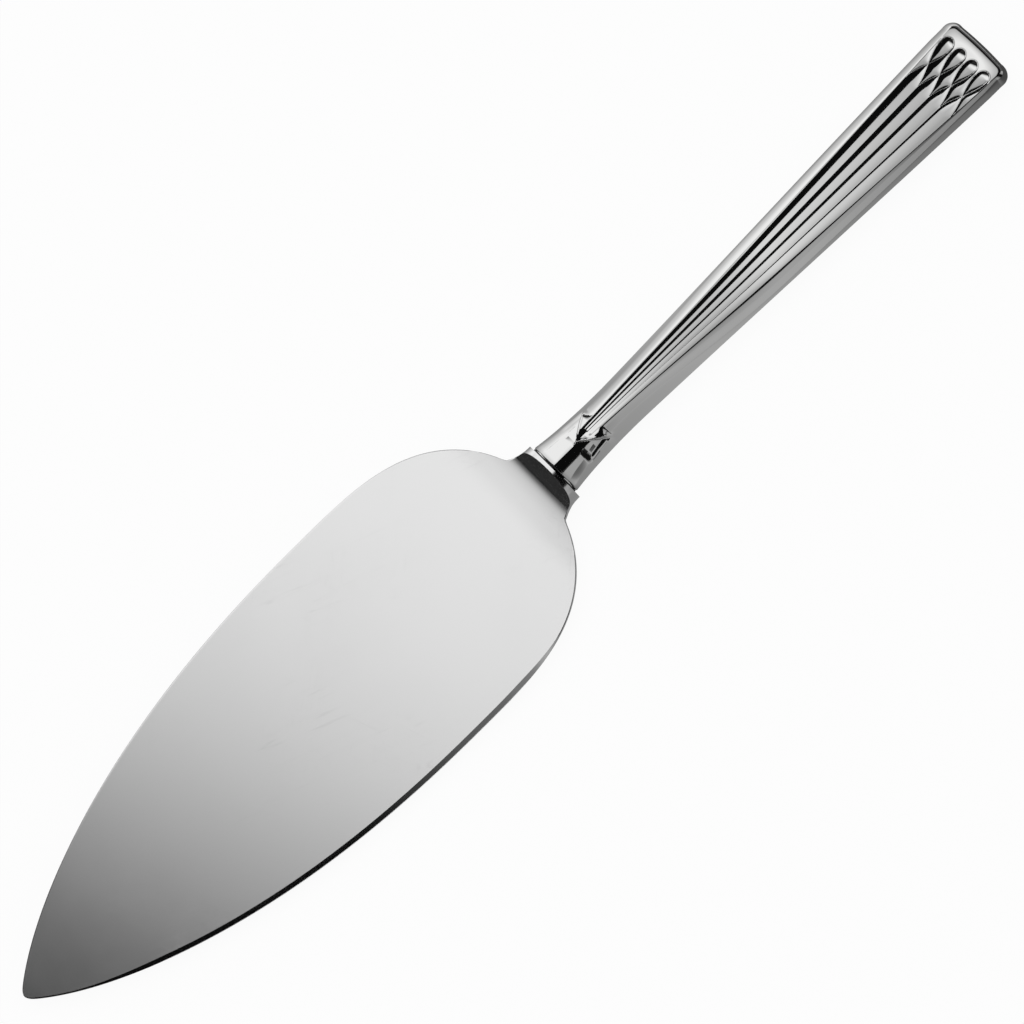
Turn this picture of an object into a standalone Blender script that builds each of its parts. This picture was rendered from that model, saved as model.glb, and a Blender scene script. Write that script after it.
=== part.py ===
"""Pie knife with a hollow handle.

A flat leaf-shaped steel blade is forged in one piece with its bolster and a
tapering tang. The handle is two struck half shells, soldered along their
rims and filled with cement, which holds the tang.

The knife lies along X with the tip at -X and the butt at +X. The side with
the ornament faces +Z. The origin is under the middle of the knife, at the
height of its lowest point.
"""
import bmesh
import bpy
import numpy as np

# Units
MM = 0.001

# Blade, seen from above
BLADE_LENGTH = 145.4 * MM
BLADE_WIDTH = 53.3 * MM
WIDEST_PLACE = 101.7 * MM
TIP_WIDTH = 0.6 * MM
FRONT_CURVE_POWERS = (2.22, 1.28)
REAR_CURVE_POWERS = (3.4, 1.89)

# Blade, seen from the side, with a bevel ground along one edge
BLADE_THICKNESS = 1.2 * MM
RIM_THICKNESS = 0.5 * MM
RIM_ROUNDING = 0.3 * MM
EDGE_THICKNESS = 0.25 * MM
EDGE_BEVEL_WIDTH = 1.0 * MM
EDGE_BEVEL_END_INSET = 18.4 * MM
EDGE_BEVEL_FADE = 3.0 * MM

# Bolster, which grows out of the blade in a hollow curve
BOLSTER_WIDTH = 13.9 * MM
BOLSTER_HEIGHT = 10.0 * MM
BOLSTER_LENGTH = 6.4 * MM
BOLSTER_SIDE_RISE = 0.3 * MM
BOLSTER_FLARE = 0.9 * MM
BOLSTER_CROWN_POWER = 2.0
COVE_START_INSET = 2.5 * MM
COVE_LENGTH = 5.5 * MM
COVE_SPARE_RISE = 0.5 * MM
COVE_CURVE_POWERS = (3.0, 2.0)
BLADE_DROP = 1.3 * MM

# Tang
TANG_LENGTH = 50.0 * MM
TANG_ROOT_WIDTH = 4.6 * MM
TANG_ROOT_THICKNESS = 3.0 * MM
TANG_END_WIDTH = 2.6 * MM
TANG_END_THICKNESS = 1.4 * MM

# Handle, seen from above
HANDLE_LENGTH = 120.4 * MM
MOUTH_WIDTH = 12.2 * MM
WAIST_WIDTH = 10.2 * MM
BUTT_WIDTH = 16.95 * MM
WAIST_PLACE = 18.0 * MM
BUTT_WIDEST_INSET = 6.6 * MM
BUTT_CORNER_RADIUS = 2.0 * MM
BUTT_END_BULGE = 0.5 * MM
NECK_FLARE_POWER = 2.6
SHANK_SWELL_SHARE = 0.15
SHANK_CURVE_POWERS = (1.15, 3.0)

# Handle, seen from the side: height of the panel's rim over the seam plane
MOUTH_RIM_HEIGHT = 4.75 * MM
NECK_RIM_HEIGHT = 5.15 * MM
WAIST_RIM_HEIGHT = 2.65 * MM
BUTT_RIM_HEIGHT = 2.6 * MM
NECK_TOP_PLACE = 8.0 * MM
THINNEST_PLACE = 60.0 * MM
END_BEVEL_LENGTH = 1.5 * MM

# Handle, seen end on: powers of the side slopes, 2 for round and 1 for flat
NECK_ROUNDNESS_POWER = 1.95
SHANK_ROUNDNESS_POWER = 1.3
BUTT_ROUNDNESS_POWER = 1.2
ROUND_NECK_LENGTH = 6.0 * MM
FACET_RUN = 8.0 * MM

# Fluted panel, which opens out from the neck to the butt
PANEL_NECK_WIDTH = 1.6 * MM
PANEL_BUTT_WIDTH = 13.6 * MM
PANEL_WIDTH_LIMIT_SHARE = 0.82
PANEL_HOLLOW = 0.42 * MM
FLUTE_COUNT = 4
FLUTE_DEPTH = 0.26 * MM
FLUTE_POINT_PLACE = 6.0 * MM
FLUTE_POINT_LENGTH = 5.0 * MM
FLUTE_FADE_LENGTH = 3.0 * MM
FLUTE_END_INSET = 3.7 * MM
FLUTE_END_ROUNDING = 1.6 * MM

# Shell walls, solder and filling
SHELL_WALL = 0.6 * MM
HOLLOW_ROUND_POWER = 2.0
HOLLOW_SHANK_POWER = 1.5
SEAT_GAP = 0.3 * MM
SOLDER_THICKNESS = 0.6 * MM
FILLING_SHARE = 0.94

# Numbers of rows, columns and points in the surfaces
FRONT_ROWS = 17
REAR_ROWS = 17
COVE_ROWS = 12
BOLSTER_ROWS = 4
BLADE_COLUMNS = 21
BEVEL_COLUMNS = 6
COLUMNS_PER_FLUTE = 4
NECK_ROWS = 4
POINT_ROWS = 8
SHANK_ROWS = 14
FLUTE_END_ROWS = 8
BORDER_ROWS = 2
BUTT_ROWS = 7
INNER_ROWS = 16
INNER_COLUMNS = 14
FILLER_POINTS = 24
SOLDER_SIDE_POINTS = 17
SOLDER_CORNER_POINTS = 4

# Points nearer to each other than this are welded together
WELD_DISTANCE = 0.02 * MM

# Shading: edges that turn by more degrees than this are drawn crisp
CRISP_ANGLE = 30.0

# Colour, roughness and metallic value of each material
FINISHES = {
    "satin_steel": ((0.62, 0.62, 0.63, 1.0), 0.3, 1.0),
    "polished_silver": ((0.80, 0.79, 0.77, 1.0), 0.12, 1.0),
    "silver_solder": ((0.66, 0.64, 0.58, 1.0), 0.35, 1.0),
    "brown_cement": ((0.34, 0.25, 0.18, 1.0), 0.9, 0.0),
}

# Places along the knife that follow from the sizes above
EDGE_BEVEL_END = BLADE_LENGTH - EDGE_BEVEL_END_INSET
COVE_START = BLADE_LENGTH - COVE_START_INSET
BOLSTER_END = COVE_START + BOLSTER_LENGTH
HANDLE_START = BOLSTER_END + SEAT_GAP
KNIFE_LENGTH = HANDLE_START + HANDLE_LENGTH
TIP_X = -KNIFE_LENGTH / 2
SEAM_Z = max(NECK_RIM_HEIGHT + SEAT_GAP / 2, BOLSTER_HEIGHT / 2)
BLADE_Z = SEAM_Z - BLADE_DROP
BUTT_WIDEST_PLACE = HANDLE_LENGTH - BUTT_WIDEST_INSET
BUTT_PLACE = HANDLE_LENGTH - BUTT_END_BULGE
FLUTE_END_PLACE = HANDLE_LENGTH - FLUTE_END_INSET
PANEL_END_PLACE = BUTT_PLACE - END_BEVEL_LENGTH
INNER_END_PLACE = BUTT_PLACE - END_BEVEL_LENGTH / 2 - SHELL_WALL
DEEPEST_FLUTE = PANEL_HOLLOW + FLUTE_DEPTH


def ease(share):
    """Goes smoothly from 0 to 1 as the share goes from 0 to 1, level at both ends."""
    share = np.clip(share, 0.0, 1.0)
    return share * share * (3.0 - 2.0 * share)


def between(first, last, share):
    """The value that lies at this share of the way from first to last."""
    return first + (last - first) * share


def round_ramp(share, power):
    """Rises from 0 to 1 like a quarter of a superellipse: a line for power 1, round for 2."""
    share = np.clip(share, 0.0, 1.0)
    return (1.0 - (1.0 - share) ** power) ** (1.0 / power)


def leaf_half_width(s):
    """Half the blade's width at s from the tip: a superellipse each way from the widest place."""
    a, b = FRONT_CURVE_POWERS
    c, d = REAR_CURVE_POWERS
    ahead = np.clip((WIDEST_PLACE - s) / WIDEST_PLACE, 0.0, 1.0)
    behind = np.clip((s - WIDEST_PLACE) / (BLADE_LENGTH - WIDEST_PLACE), 0.0, 1.0)
    front = (1.0 - ahead ** a) ** (1.0 / b)
    rear = (1.0 - behind ** c) ** (1.0 / d)
    return BLADE_WIDTH / 2 * np.where(s < WIDEST_PLACE, front, rear)


def blade_half_width(s):
    """Half the outline's width from the tip to the bolster's end."""
    flare = BOLSTER_FLARE * (1.0 - ease((s - COVE_START) / (BOLSTER_END - COVE_START)))
    bolster = np.where(s > WIDEST_PLACE, BOLSTER_WIDTH / 2 + flare, 0.0)
    return np.maximum(np.maximum(leaf_half_width(s), bolster), TIP_WIDTH / 2)


def across_blade(s, half):
    """Place across the blade of each column of points, at s where it is half wide to a side.

    On the leaf the columns follow the rims and the ground bevel, and are
    even between them. By the bolster they have drawn towards the sides, as
    the points of an oval do.
    """
    rim_insets = np.array([0.0, RIM_ROUNDING, EDGE_BEVEL_WIDTH])
    rim_shares = np.ones(len(rim_insets))
    inner_shares = np.linspace(-1.0, 1.0, BLADE_COLUMNS - 2 * len(rim_insets) + 2)[1:-1]
    inner_insets = np.full(len(inner_shares), EDGE_BEVEL_WIDTH)
    shares = np.concatenate([-rim_shares, inner_shares, rim_shares])
    insets = np.concatenate([rim_insets, inner_insets, rim_insets[::-1]])
    fit = np.minimum(1.0, half / EDGE_BEVEL_WIDTH / 2)
    on_leaf = shares * (half - fit * insets)
    on_bolster = -np.cos(np.linspace(0.0, np.pi, BLADE_COLUMNS)) * half
    return between(on_leaf, on_bolster, ease((s - EDGE_BEVEL_END) / (COVE_START - EDGE_BEVEL_END)))


def bolster_rise(side):
    """Height of the bolster's crowned face over the blade's face, for each column of points."""
    full_rise = BOLSTER_HEIGHT / 2 + side * BLADE_DROP - BLADE_THICKNESS / 2
    share = np.abs(np.cos(np.linspace(0.0, np.pi, BLADE_COLUMNS)))
    crown = (1.0 - share ** BOLSTER_CROWN_POWER) ** (1.0 / BOLSTER_CROWN_POWER)
    return between(BOLSTER_SIDE_RISE, full_rise, crown)


def blade_face(leaf, cove, crown, side):
    """Places (s, y, z) of one broad face of the blade and bolster; side is 1 on top, -1 below.

    The face is flat out to its rounded rim, or to the ground bevel on the
    -Y side. At the bolster it climbs a quarter superellipse, slowly at first,
    until it meets the bolster's crowned face. The last row on the climb
    follows the crisp line where they meet, and rows that would pass that
    line stop on it.
    """
    along, up = COVE_CURVE_POWERS
    rise = bolster_rise(side)
    cove_height = rise.max() + COVE_SPARE_RISE
    crease = COVE_START + COVE_LENGTH * (1.0 - (1.0 - rise / cove_height) ** up) ** (1.0 / along)

    s_leaf = np.repeat(leaf[:, None], BLADE_COLUMNS, axis=1)
    s_cove = np.minimum(COVE_START + COVE_LENGTH * cove[:, None], crease[None, :])
    s_crown = between(crease[None, :], BOLSTER_END, crown[:, None])
    s = np.concatenate([s_leaf, s_cove, s_crown])
    half = blade_half_width(s)
    y = across_blade(s, half)

    climb_share = np.clip((s - COVE_START) / COVE_LENGTH, 0.0, 1.0)
    climb = cove_height * (1.0 - (1.0 - climb_share ** along) ** (1.0 / up))
    climb[-len(crown):] = rise[None, :]

    flat = 1.0 - ease((s - COVE_START) / (crease[None, :] - COVE_START))
    from_rim = half - np.abs(y)
    rim_fall = 1.0 - round_ramp(from_rim / RIM_ROUNDING, 2.0)
    drop = flat * rim_fall * (BLADE_THICKNESS - RIM_THICKNESS) / 2
    if side > 0:
        ground = np.where(y < 0.0, 1.0 - ease((s - EDGE_BEVEL_END) / EDGE_BEVEL_FADE), 0.0)
        bevel_share = np.clip(from_rim / np.minimum(EDGE_BEVEL_WIDTH, half), 0.0, 1.0)
        drop = between(drop, (BLADE_THICKNESS - EDGE_THICKNESS) * (1.0 - bevel_share), ground)
    return s, y, BLADE_Z + side * (BLADE_THICKNESS / 2 + climb - drop)


def handle_half_width(u):
    """Half the handle's width at u from its mouth: a flared neck, a waist and a widening shank."""
    early, late = SHANK_CURVE_POWERS
    flare = (MOUTH_WIDTH - WAIST_WIDTH) / 2
    neck = flare * np.clip(1.0 - u / WAIST_PLACE, 0.0, 1.0) ** NECK_FLARE_POWER
    run = np.clip((u - WAIST_PLACE) / (BUTT_WIDEST_PLACE - WAIST_PLACE), 0.0, 1.0)
    swell = (1.0 + SHANK_SWELL_SHARE) * run ** early - SHANK_SWELL_SHARE * run ** late
    half = WAIST_WIDTH / 2 + neck + (BUTT_WIDTH - WAIST_WIDTH) / 2 * swell
    past = np.clip(u - (BUTT_PLACE - BUTT_CORNER_RADIUS), 0.0, BUTT_CORNER_RADIUS)
    corner = BUTT_CORNER_RADIUS - np.sqrt(BUTT_CORNER_RADIUS ** 2 - past ** 2)
    return half - corner


def rim_height(u):
    """Height of the panel's rim over the seam plane: thick neck, thin shank, firmer butt."""
    neck = between(MOUTH_RIM_HEIGHT, NECK_RIM_HEIGHT, ease(u / NECK_TOP_PLACE))
    down = ease((u - NECK_TOP_PLACE) / (THINNEST_PLACE - NECK_TOP_PLACE))
    up = ease((u - THINNEST_PLACE) / (BUTT_PLACE - THINNEST_PLACE))
    return neck + (WAIST_RIM_HEIGHT - NECK_RIM_HEIGHT) * down + (BUTT_RIM_HEIGHT - WAIST_RIM_HEIGHT) * up


def panel_half_width(u):
    """Half the fluted panel's width, which opens out evenly towards the butt."""
    share = np.clip((u - FLUTE_POINT_PLACE) / (PANEL_END_PLACE - FLUTE_POINT_PLACE), 0.0, 1.0)
    return between(PANEL_NECK_WIDTH, PANEL_BUTT_WIDTH, share) / 2


def panel_size(u):
    """Width of the panel at u as a share of its width at the butt."""
    return panel_half_width(u) / (PANEL_BUTT_WIDTH / 2)


def facet_share(u):
    """How far the round neck has turned into the shank with its flat side bevels."""
    return ease((u - ROUND_NECK_LENGTH) / FACET_RUN)


def roundness(u):
    """Power of the side slope's curve: round at the neck, nearly straight from there on."""
    power = between(NECK_ROUNDNESS_POWER, SHANK_ROUNDNESS_POWER, facet_share(u))
    return between(power, BUTT_ROUNDNESS_POWER, ease(u / THINNEST_PLACE))


def off_flute_middle(across):
    """Place across the flute it lies in, from -1 to 1, for a place across the whole panel."""
    place = (across + 1.0) / 2 * FLUTE_COUNT
    return 2.0 * (place - np.floor(place)) - 1.0


def flute_share(u, across):
    """How much of its depth the fluting has at u from the mouth, at across from -1 to 1.

    It starts in a point on the middle line and spreads to the rims, and each
    flute closes in a round end at the butt.
    """
    start = FLUTE_POINT_PLACE + FLUTE_POINT_LENGTH * np.abs(across)
    opening = ease((u - start) / FLUTE_FADE_LENGTH)
    past = np.clip((u - FLUTE_END_PLACE) / FLUTE_END_ROUNDING + 1.0, 0.0, 1.0)
    closing = np.clip(1.0 - past ** 2 - (off_flute_middle(across) * past) ** 2, 0.0, 1.0)
    return opening * np.where(past > 0.0, closing, 1.0)


def panel_drop(u, across):
    """Depth of the panel's face under its rim: a shallow hollow with round flutes in it."""
    hollow = PANEL_HOLLOW * (1.0 - across ** 2)
    flutes = FLUTE_DEPTH * (1.0 - off_flute_middle(across) ** 2)
    return panel_size(u) * (hollow + flutes) * flute_share(u, across)


def end_slope(u):
    """Falls from 1 to 0 over the bevel at the butt's end."""
    return round_ramp((BUTT_PLACE - u) / END_BEVEL_LENGTH, BUTT_ROUNDNESS_POWER)


def end_bulge(u, y):
    """How far a point moves towards the butt, because the end is a shallow arc."""
    start = FLUTE_END_PLACE - FLUTE_END_ROUNDING
    return BUTT_END_BULGE * ease((u - start) / (BUTT_PLACE - start)) * (1.0 - (2.0 * y / BUTT_WIDTH) ** 2)


def shell_outside(rows):
    """Grid of (u, y, z) over a half shell's outer face, from the -Y rim to the +Y rim."""
    slope_shares = 1.0 - np.cos(np.linspace(0.0, np.pi / 2, BEVEL_COLUMNS + 1))
    panel_shares = np.linspace(-1.0, 1.0, FLUTE_COUNT * COLUMNS_PER_FLUTE + 1)
    u = rows[:, None]
    half = handle_half_width(u)
    panel = np.minimum(panel_half_width(u), half * PANEL_WIDTH_LIMIT_SHARE)
    slope_y = half - (half - panel) * slope_shares[None, :]
    slope_z = rim_height(u) * round_ramp(slope_shares[None, :] + 0 * u, roundness(u))
    panel_y = panel * panel_shares[None, :]
    panel_z = rim_height(u) - panel_drop(u, panel_shares[None, :] + 0 * u)
    y = np.concatenate([-slope_y, panel_y[:, 1:-1], slope_y[:, ::-1]], axis=1)
    z = np.concatenate([slope_z, panel_z[:, 1:-1], slope_z[:, ::-1]], axis=1) * end_slope(u)
    return u + end_bulge(u, y), y, z


def inner_height(u):
    """Height of the shell's hollow over the seam plane, clear of the deepest flute."""
    return rim_height(u) - panel_size(u) * DEEPEST_FLUTE - SHELL_WALL


def hollow_power(u):
    """Power of the hollow's curve: round, but flatter at the sides where the bevels come near."""
    thick = 1.0 - ease((u - WAIST_PLACE) / (BUTT_PLACE - WAIST_PLACE))
    return between(HOLLOW_ROUND_POWER, HOLLOW_SHANK_POWER, facet_share(u) * thick)


def shell_inside(rows):
    """Grid of (u, y, z) over a half shell's inner face, a plain hollow."""
    turn = np.linspace(0.0, np.pi, INNER_COLUMNS + 1)[None, :]
    u = rows[:, None]
    half = handle_half_width(np.minimum(u, INNER_END_PLACE - BUTT_CORNER_RADIUS)) - SHELL_WALL
    closing = np.sqrt(np.clip((INNER_END_PLACE - u) / BUTT_CORNER_RADIUS, 0.0, 1.0))
    corner = BUTT_CORNER_RADIUS * (1.0 - closing)
    y = -np.cos(turn) * (half - corner)
    z = round_ramp(1.0 - np.abs(np.cos(turn)) + 0 * u, hollow_power(u)) * inner_height(u) * closing
    return u + 0 * y, y, z


def new_object(name, bm, collection, material):
    """Turns a bmesh into a smooth-shaded object with crisp lines kept sharp."""
    bmesh.ops.recalc_face_normals(bm, faces=bm.faces[:])
    mesh = bpy.data.meshes.new(name)
    bm.to_mesh(mesh)
    bm.free()
    mesh.shade_smooth()
    mesh.set_sharp_from_angle(angle=np.radians(CRISP_ANGLE))
    mesh.materials.append(material)
    obj = bpy.data.objects.new(name, mesh)
    collection.objects.link(obj)
    return obj


def new_material(name, colour, roughness_value, metallic):
    """A plain surface with a colour, a roughness and a metallic value."""
    material = bpy.data.materials.new(name)
    material.use_nodes = True
    shader = material.node_tree.nodes["Principled BSDF"]
    shader.inputs["Base Color"].default_value = colour
    shader.inputs["Roughness"].default_value = roughness_value
    shader.inputs["Metallic"].default_value = metallic
    return material


def add_grid(bm, x, y, z):
    """Adds a grid of points and the faces between them, and returns the points row by row."""
    places = np.stack(np.broadcast_arrays(x, y, z), axis=-1)
    grid = [[bm.verts.new(place) for place in row] for row in places.tolist()]
    for upper, lower in zip(grid, grid[1:]):
        bridge(bm, upper, lower)
    return grid


def bridge(bm, first, second):
    """Adds a strip of faces between two lines of points of the same length."""
    for j in range(len(first) - 1):
        bm.faces.new((first[j], first[j + 1], second[j + 1], second[j]))


def rim_points(grid):
    """The points round a grid's open edge: down one side, across the last row and back."""
    return [row[0] for row in grid] + grid[-1][1:-1] + [row[-1] for row in grid][::-1]


def ring_loft(bm, rings):
    """Adds a closed body through rings of points, with a face over each end."""
    loops = [[bm.verts.new(place) for place in ring] for ring in rings]
    for first, second in zip(loops, loops[1:]):
        bridge(bm, first + first[:1], second + second[:1])
    bm.faces.new(loops[0])
    bm.faces.new(loops[-1])


def ring_at(s, y, z):
    """Ring of points across the knife at s from the tip, with z counted from the seam plane."""
    return np.stack([np.full(len(y), TIP_X + s), y, SEAM_Z + z], axis=-1).tolist()


def oval_ring(s, half_width, half_height, turn):
    """Ring of points on an ellipse."""
    return ring_at(s, half_width * np.cos(turn), half_height * np.sin(turn))


def box_ring(s, half_width, half_height, turn):
    """Ring of points round a flat bar's section, in step with the points of an oval ring."""
    reach = np.maximum(np.abs(np.cos(turn)), np.abs(np.sin(turn)))
    return ring_at(s, half_width * np.cos(turn) / reach, half_height * np.sin(turn) / reach)


def build_blade(collection, material):
    """Blade, bolster and tang as one forged piece."""
    front = WIDEST_PLACE * (1.0 - np.cos(np.linspace(0.0, np.pi / 2, FRONT_ROWS)))
    rear_shares = np.sin(np.linspace(0.0, np.pi / 2, REAR_ROWS))[1:-1]
    leaf = np.concatenate([front, between(WIDEST_PLACE, COVE_START, rear_shares)])
    cove = np.sin(np.linspace(0.0, np.pi / 2, COVE_ROWS + 1))
    crown = np.linspace(0.0, 1.0, BOLSTER_ROWS + 1)[1:]

    bm = bmesh.new()
    faces = []
    for side in (1, -1):
        s, y, z = blade_face(leaf, cove, crown, side)
        faces.append(add_grid(bm, TIP_X + s, y, z))
    top, bottom = faces
    bridge(bm, top[0], bottom[0])
    bridge(bm, [row[0] for row in top], [row[0] for row in bottom])
    bridge(bm, [row[-1] for row in top], [row[-1] for row in bottom])

    shoulder = top[-1] + bottom[-1][::-1]
    shares = np.linspace(-1.0, 1.0, BLADE_COLUMNS)
    shares = np.concatenate([shares, shares[::-1]])
    faces_up = np.repeat([1.0, -1.0], BLADE_COLUMNS)
    tang_sections = (
        (BOLSTER_END, TANG_ROOT_WIDTH, TANG_ROOT_THICKNESS),
        (BOLSTER_END + TANG_LENGTH, TANG_END_WIDTH, TANG_END_THICKNESS),
    )
    for s, width, thickness in tang_sections:
        places = ring_at(s, shares * width / 2, faces_up * thickness / 2)
        ring = [bm.verts.new(place) for place in places]
        bridge(bm, shoulder + shoulder[:1], ring + ring[:1])
        shoulder = ring
    bm.faces.new(shoulder)
    bmesh.ops.remove_doubles(bm, verts=bm.verts[:], dist=WELD_DISTANCE)
    return new_object("blade", bm, collection, material)


def build_half_shell(name, side, collection, material):
    """One struck half of the handle; side is 1 for the front half, -1 for the back half."""
    flute_top = FLUTE_POINT_PLACE + FLUTE_POINT_LENGTH + FLUTE_FADE_LENGTH
    flute_close = FLUTE_END_PLACE - FLUTE_END_ROUNDING
    rows = np.concatenate([
        np.linspace(0.0, FLUTE_POINT_PLACE, NECK_ROWS, endpoint=False),
        np.linspace(FLUTE_POINT_PLACE, flute_top, POINT_ROWS, endpoint=False),
        np.linspace(flute_top, flute_close, SHANK_ROWS, endpoint=False),
        np.linspace(flute_close, FLUTE_END_PLACE, FLUTE_END_ROWS, endpoint=False),
        np.linspace(FLUTE_END_PLACE, PANEL_END_PLACE, BORDER_ROWS, endpoint=False),
        between(PANEL_END_PLACE, BUTT_PLACE, np.sin(np.linspace(0.0, np.pi / 2, BUTT_ROWS))),
    ])
    inner_rows = INNER_END_PLACE * np.sin(np.linspace(0.0, np.pi / 2, INNER_ROWS))

    bm = bmesh.new()
    grids = []
    for u, y, z in (shell_outside(rows), shell_inside(inner_rows)):
        height = SEAM_Z + side * (SEAT_GAP / 2 + z)
        grids.append(add_grid(bm, TIP_X + HANDLE_START + u, y, height))
    outer, inner = grids
    bm.faces.new(rim_points(outer) + rim_points(inner)[::-1])
    bm.faces.new(outer[0] + inner[0][::-1])
    return new_object(name, bm, collection, material)


def build_solder(collection, material):
    """Line of solder inside the seam, from the mouth round the butt and back."""
    inset = SHELL_WALL + SEAT_GAP + SOLDER_THICKNESS / 2
    last = INNER_END_PLACE - SEAT_GAP - SOLDER_THICKNESS / 2
    turn_place = last - BUTT_CORNER_RADIUS
    side_u = np.linspace(SEAT_GAP, turn_place, SOLDER_SIDE_POINTS)
    side_y = handle_half_width(side_u) - inset
    angle = np.linspace(0.0, np.pi / 2, SOLDER_CORNER_POINTS + 1)[1:]
    corner_u = turn_place + BUTT_CORNER_RADIUS * np.sin(angle)
    corner_y = side_y[-1] - BUTT_CORNER_RADIUS * (1.0 - np.cos(angle))
    u = np.concatenate([side_u, corner_u])
    y = np.concatenate([side_y, corner_y])
    u = np.concatenate([u, u[::-1]])
    y = np.concatenate([-y, y[::-1]])

    curve = bpy.data.curves.new("solder_line", "CURVE")
    curve.dimensions = "3D"
    curve.bevel_depth = SOLDER_THICKNESS / 2
    curve.bevel_resolution = 1
    curve.use_fill_caps = True
    spline = curve.splines.new("POLY")
    spline.points.add(len(u) - 1)
    for point, along, across in zip(spline.points, u, y):
        point.co = (TIP_X + HANDLE_START + along, across, SEAM_Z, 1.0)
    curve.materials.append(material)
    obj = bpy.data.objects.new("solder_line", curve)
    collection.objects.link(obj)
    return obj


def build_filler(collection, material):
    """Cement inside the handle, with the socket that holds the tang."""
    side_inset = SHELL_WALL + 2 * SEAT_GAP + SOLDER_THICKNESS
    end = INNER_END_PLACE - 2 * SEAT_GAP - SOLDER_THICKNESS - BUTT_CORNER_RADIUS
    turn = np.linspace(0.0, 2 * np.pi, FILLER_POINTS, endpoint=False)
    socket_sections = (
        (TANG_LENGTH + SEAT_GAP, TANG_END_WIDTH, TANG_END_THICKNESS),
        (SEAT_GAP, TANG_ROOT_WIDTH, TANG_ROOT_THICKNESS),
    )
    rings = []
    for depth, width, thickness in socket_sections:
        rings.append(box_ring(HANDLE_START + depth, width / 2 + SEAT_GAP, thickness / 2 + SEAT_GAP, turn))
    for u in np.linspace(SEAT_GAP, end, INNER_ROWS):
        width = handle_half_width(u) - side_inset
        height = (inner_height(u) - SEAT_GAP) * FILLING_SHARE
        rings.append(oval_ring(HANDLE_START + u, width, height, turn))
    bm = bmesh.new()
    ring_loft(bm, rings)
    return new_object("handle_filler", bm, collection, material)


def clear_scene():
    """Removes whatever the scene holds."""
    for obj in list(bpy.data.objects):
        bpy.data.objects.remove(obj, do_unlink=True)


def main():
    clear_scene()
    collection = bpy.data.collections.new("pie_knife")
    bpy.context.scene.collection.children.link(collection)
    materials = {name: new_material(name, *finish) for name, finish in FINISHES.items()}
    build_blade(collection, materials["satin_steel"])
    build_half_shell("handle_front_shell", 1, collection, materials["polished_silver"])
    build_half_shell("handle_back_shell", -1, collection, materials["polished_silver"])
    build_solder(collection, materials["silver_solder"])
    build_filler(collection, materials["brown_cement"])


main()
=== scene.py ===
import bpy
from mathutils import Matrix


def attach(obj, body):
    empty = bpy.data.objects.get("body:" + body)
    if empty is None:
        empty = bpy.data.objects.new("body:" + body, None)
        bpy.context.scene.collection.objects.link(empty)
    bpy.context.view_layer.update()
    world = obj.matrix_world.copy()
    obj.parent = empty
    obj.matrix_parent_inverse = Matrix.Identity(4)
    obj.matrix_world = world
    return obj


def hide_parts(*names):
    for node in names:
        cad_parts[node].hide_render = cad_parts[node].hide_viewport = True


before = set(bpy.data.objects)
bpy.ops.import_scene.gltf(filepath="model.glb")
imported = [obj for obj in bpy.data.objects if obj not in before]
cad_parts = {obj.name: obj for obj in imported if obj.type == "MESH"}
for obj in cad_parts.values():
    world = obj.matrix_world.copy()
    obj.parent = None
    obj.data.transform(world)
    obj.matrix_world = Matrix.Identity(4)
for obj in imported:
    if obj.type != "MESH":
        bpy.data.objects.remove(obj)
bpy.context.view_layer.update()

import bmesh
import bpy
import numpy as np
from bpy.props import FloatProperty, FloatVectorProperty, PointerProperty
from bpy.types import Operator, Panel, PropertyGroup
from mathutils import Matrix, Vector

bl_info = {
    "name": "Pie Knife",
    "version": (1, 0, 0),
    "blender": (4, 5, 0),
    "location": "View3D > Sidebar > Pie Knife",
    "description": "Builds a pie knife with a satin steel blade and a fluted hollow handle",
    "category": "Add Mesh",
}

MM = 0.001

# Blade: s runs along the knife from the tip. Its bevel, cove, fillet and tip are finer than the solids'
BLADE_LENGTH = 145.4 * MM
BLADE_WIDTH = 53.3 * MM
WIDEST_PLACE = 101.7 * MM
TIP_WIDTH = 0.6 * MM
FRONT_CURVE_POWERS = (2.22, 1.28)
REAR_CURVE_POWERS = (3.4, 1.89)
BLADE_THICKNESS = 1.2 * MM
RIM_THICKNESS = 0.5 * MM
RIM_ROUNDING = 0.22 * MM
EDGE_THICKNESS = 0.25 * MM
EDGE_BEVEL_WIDTH = 1.0 * MM
EDGE_BEVEL_START_SHARE = 0.3
EDGE_BEVEL_GROWTH = (6.0 * MM, 22.0 * MM)
EDGE_BEVEL_END = 113.0 * MM
EDGE_BEVEL_FADE = 20.0 * MM
LEAST_BEVEL_COLUMNS = 0.01 * MM
BEVEL_GUARD = 0.06 * MM
TIP_BLUNTNESS = 1.3 * MM
TIP_BLUNT_RUNS = (0.8 * MM, 4.0 * MM)
BOLSTER_WIDTH = 13.9 * MM
BOLSTER_HEIGHT = 10.0 * MM
BOLSTER_SIDE_RISE = 0.52 * MM
BOLSTER_FLARE = 0.9 * MM
BOLSTER_CROWN_POWER = 2.0
BOLSTER_START = 140.0 * MM
BOLSTER_FILLET = 0.9 * MM
BOLSTER_FILLET_START = 144.2 * MM
BOLSTER_FILLET_LENGTH = 3.8 * MM
COVE_START = 136.0 * MM
COVE_END = 149.2 * MM
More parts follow.
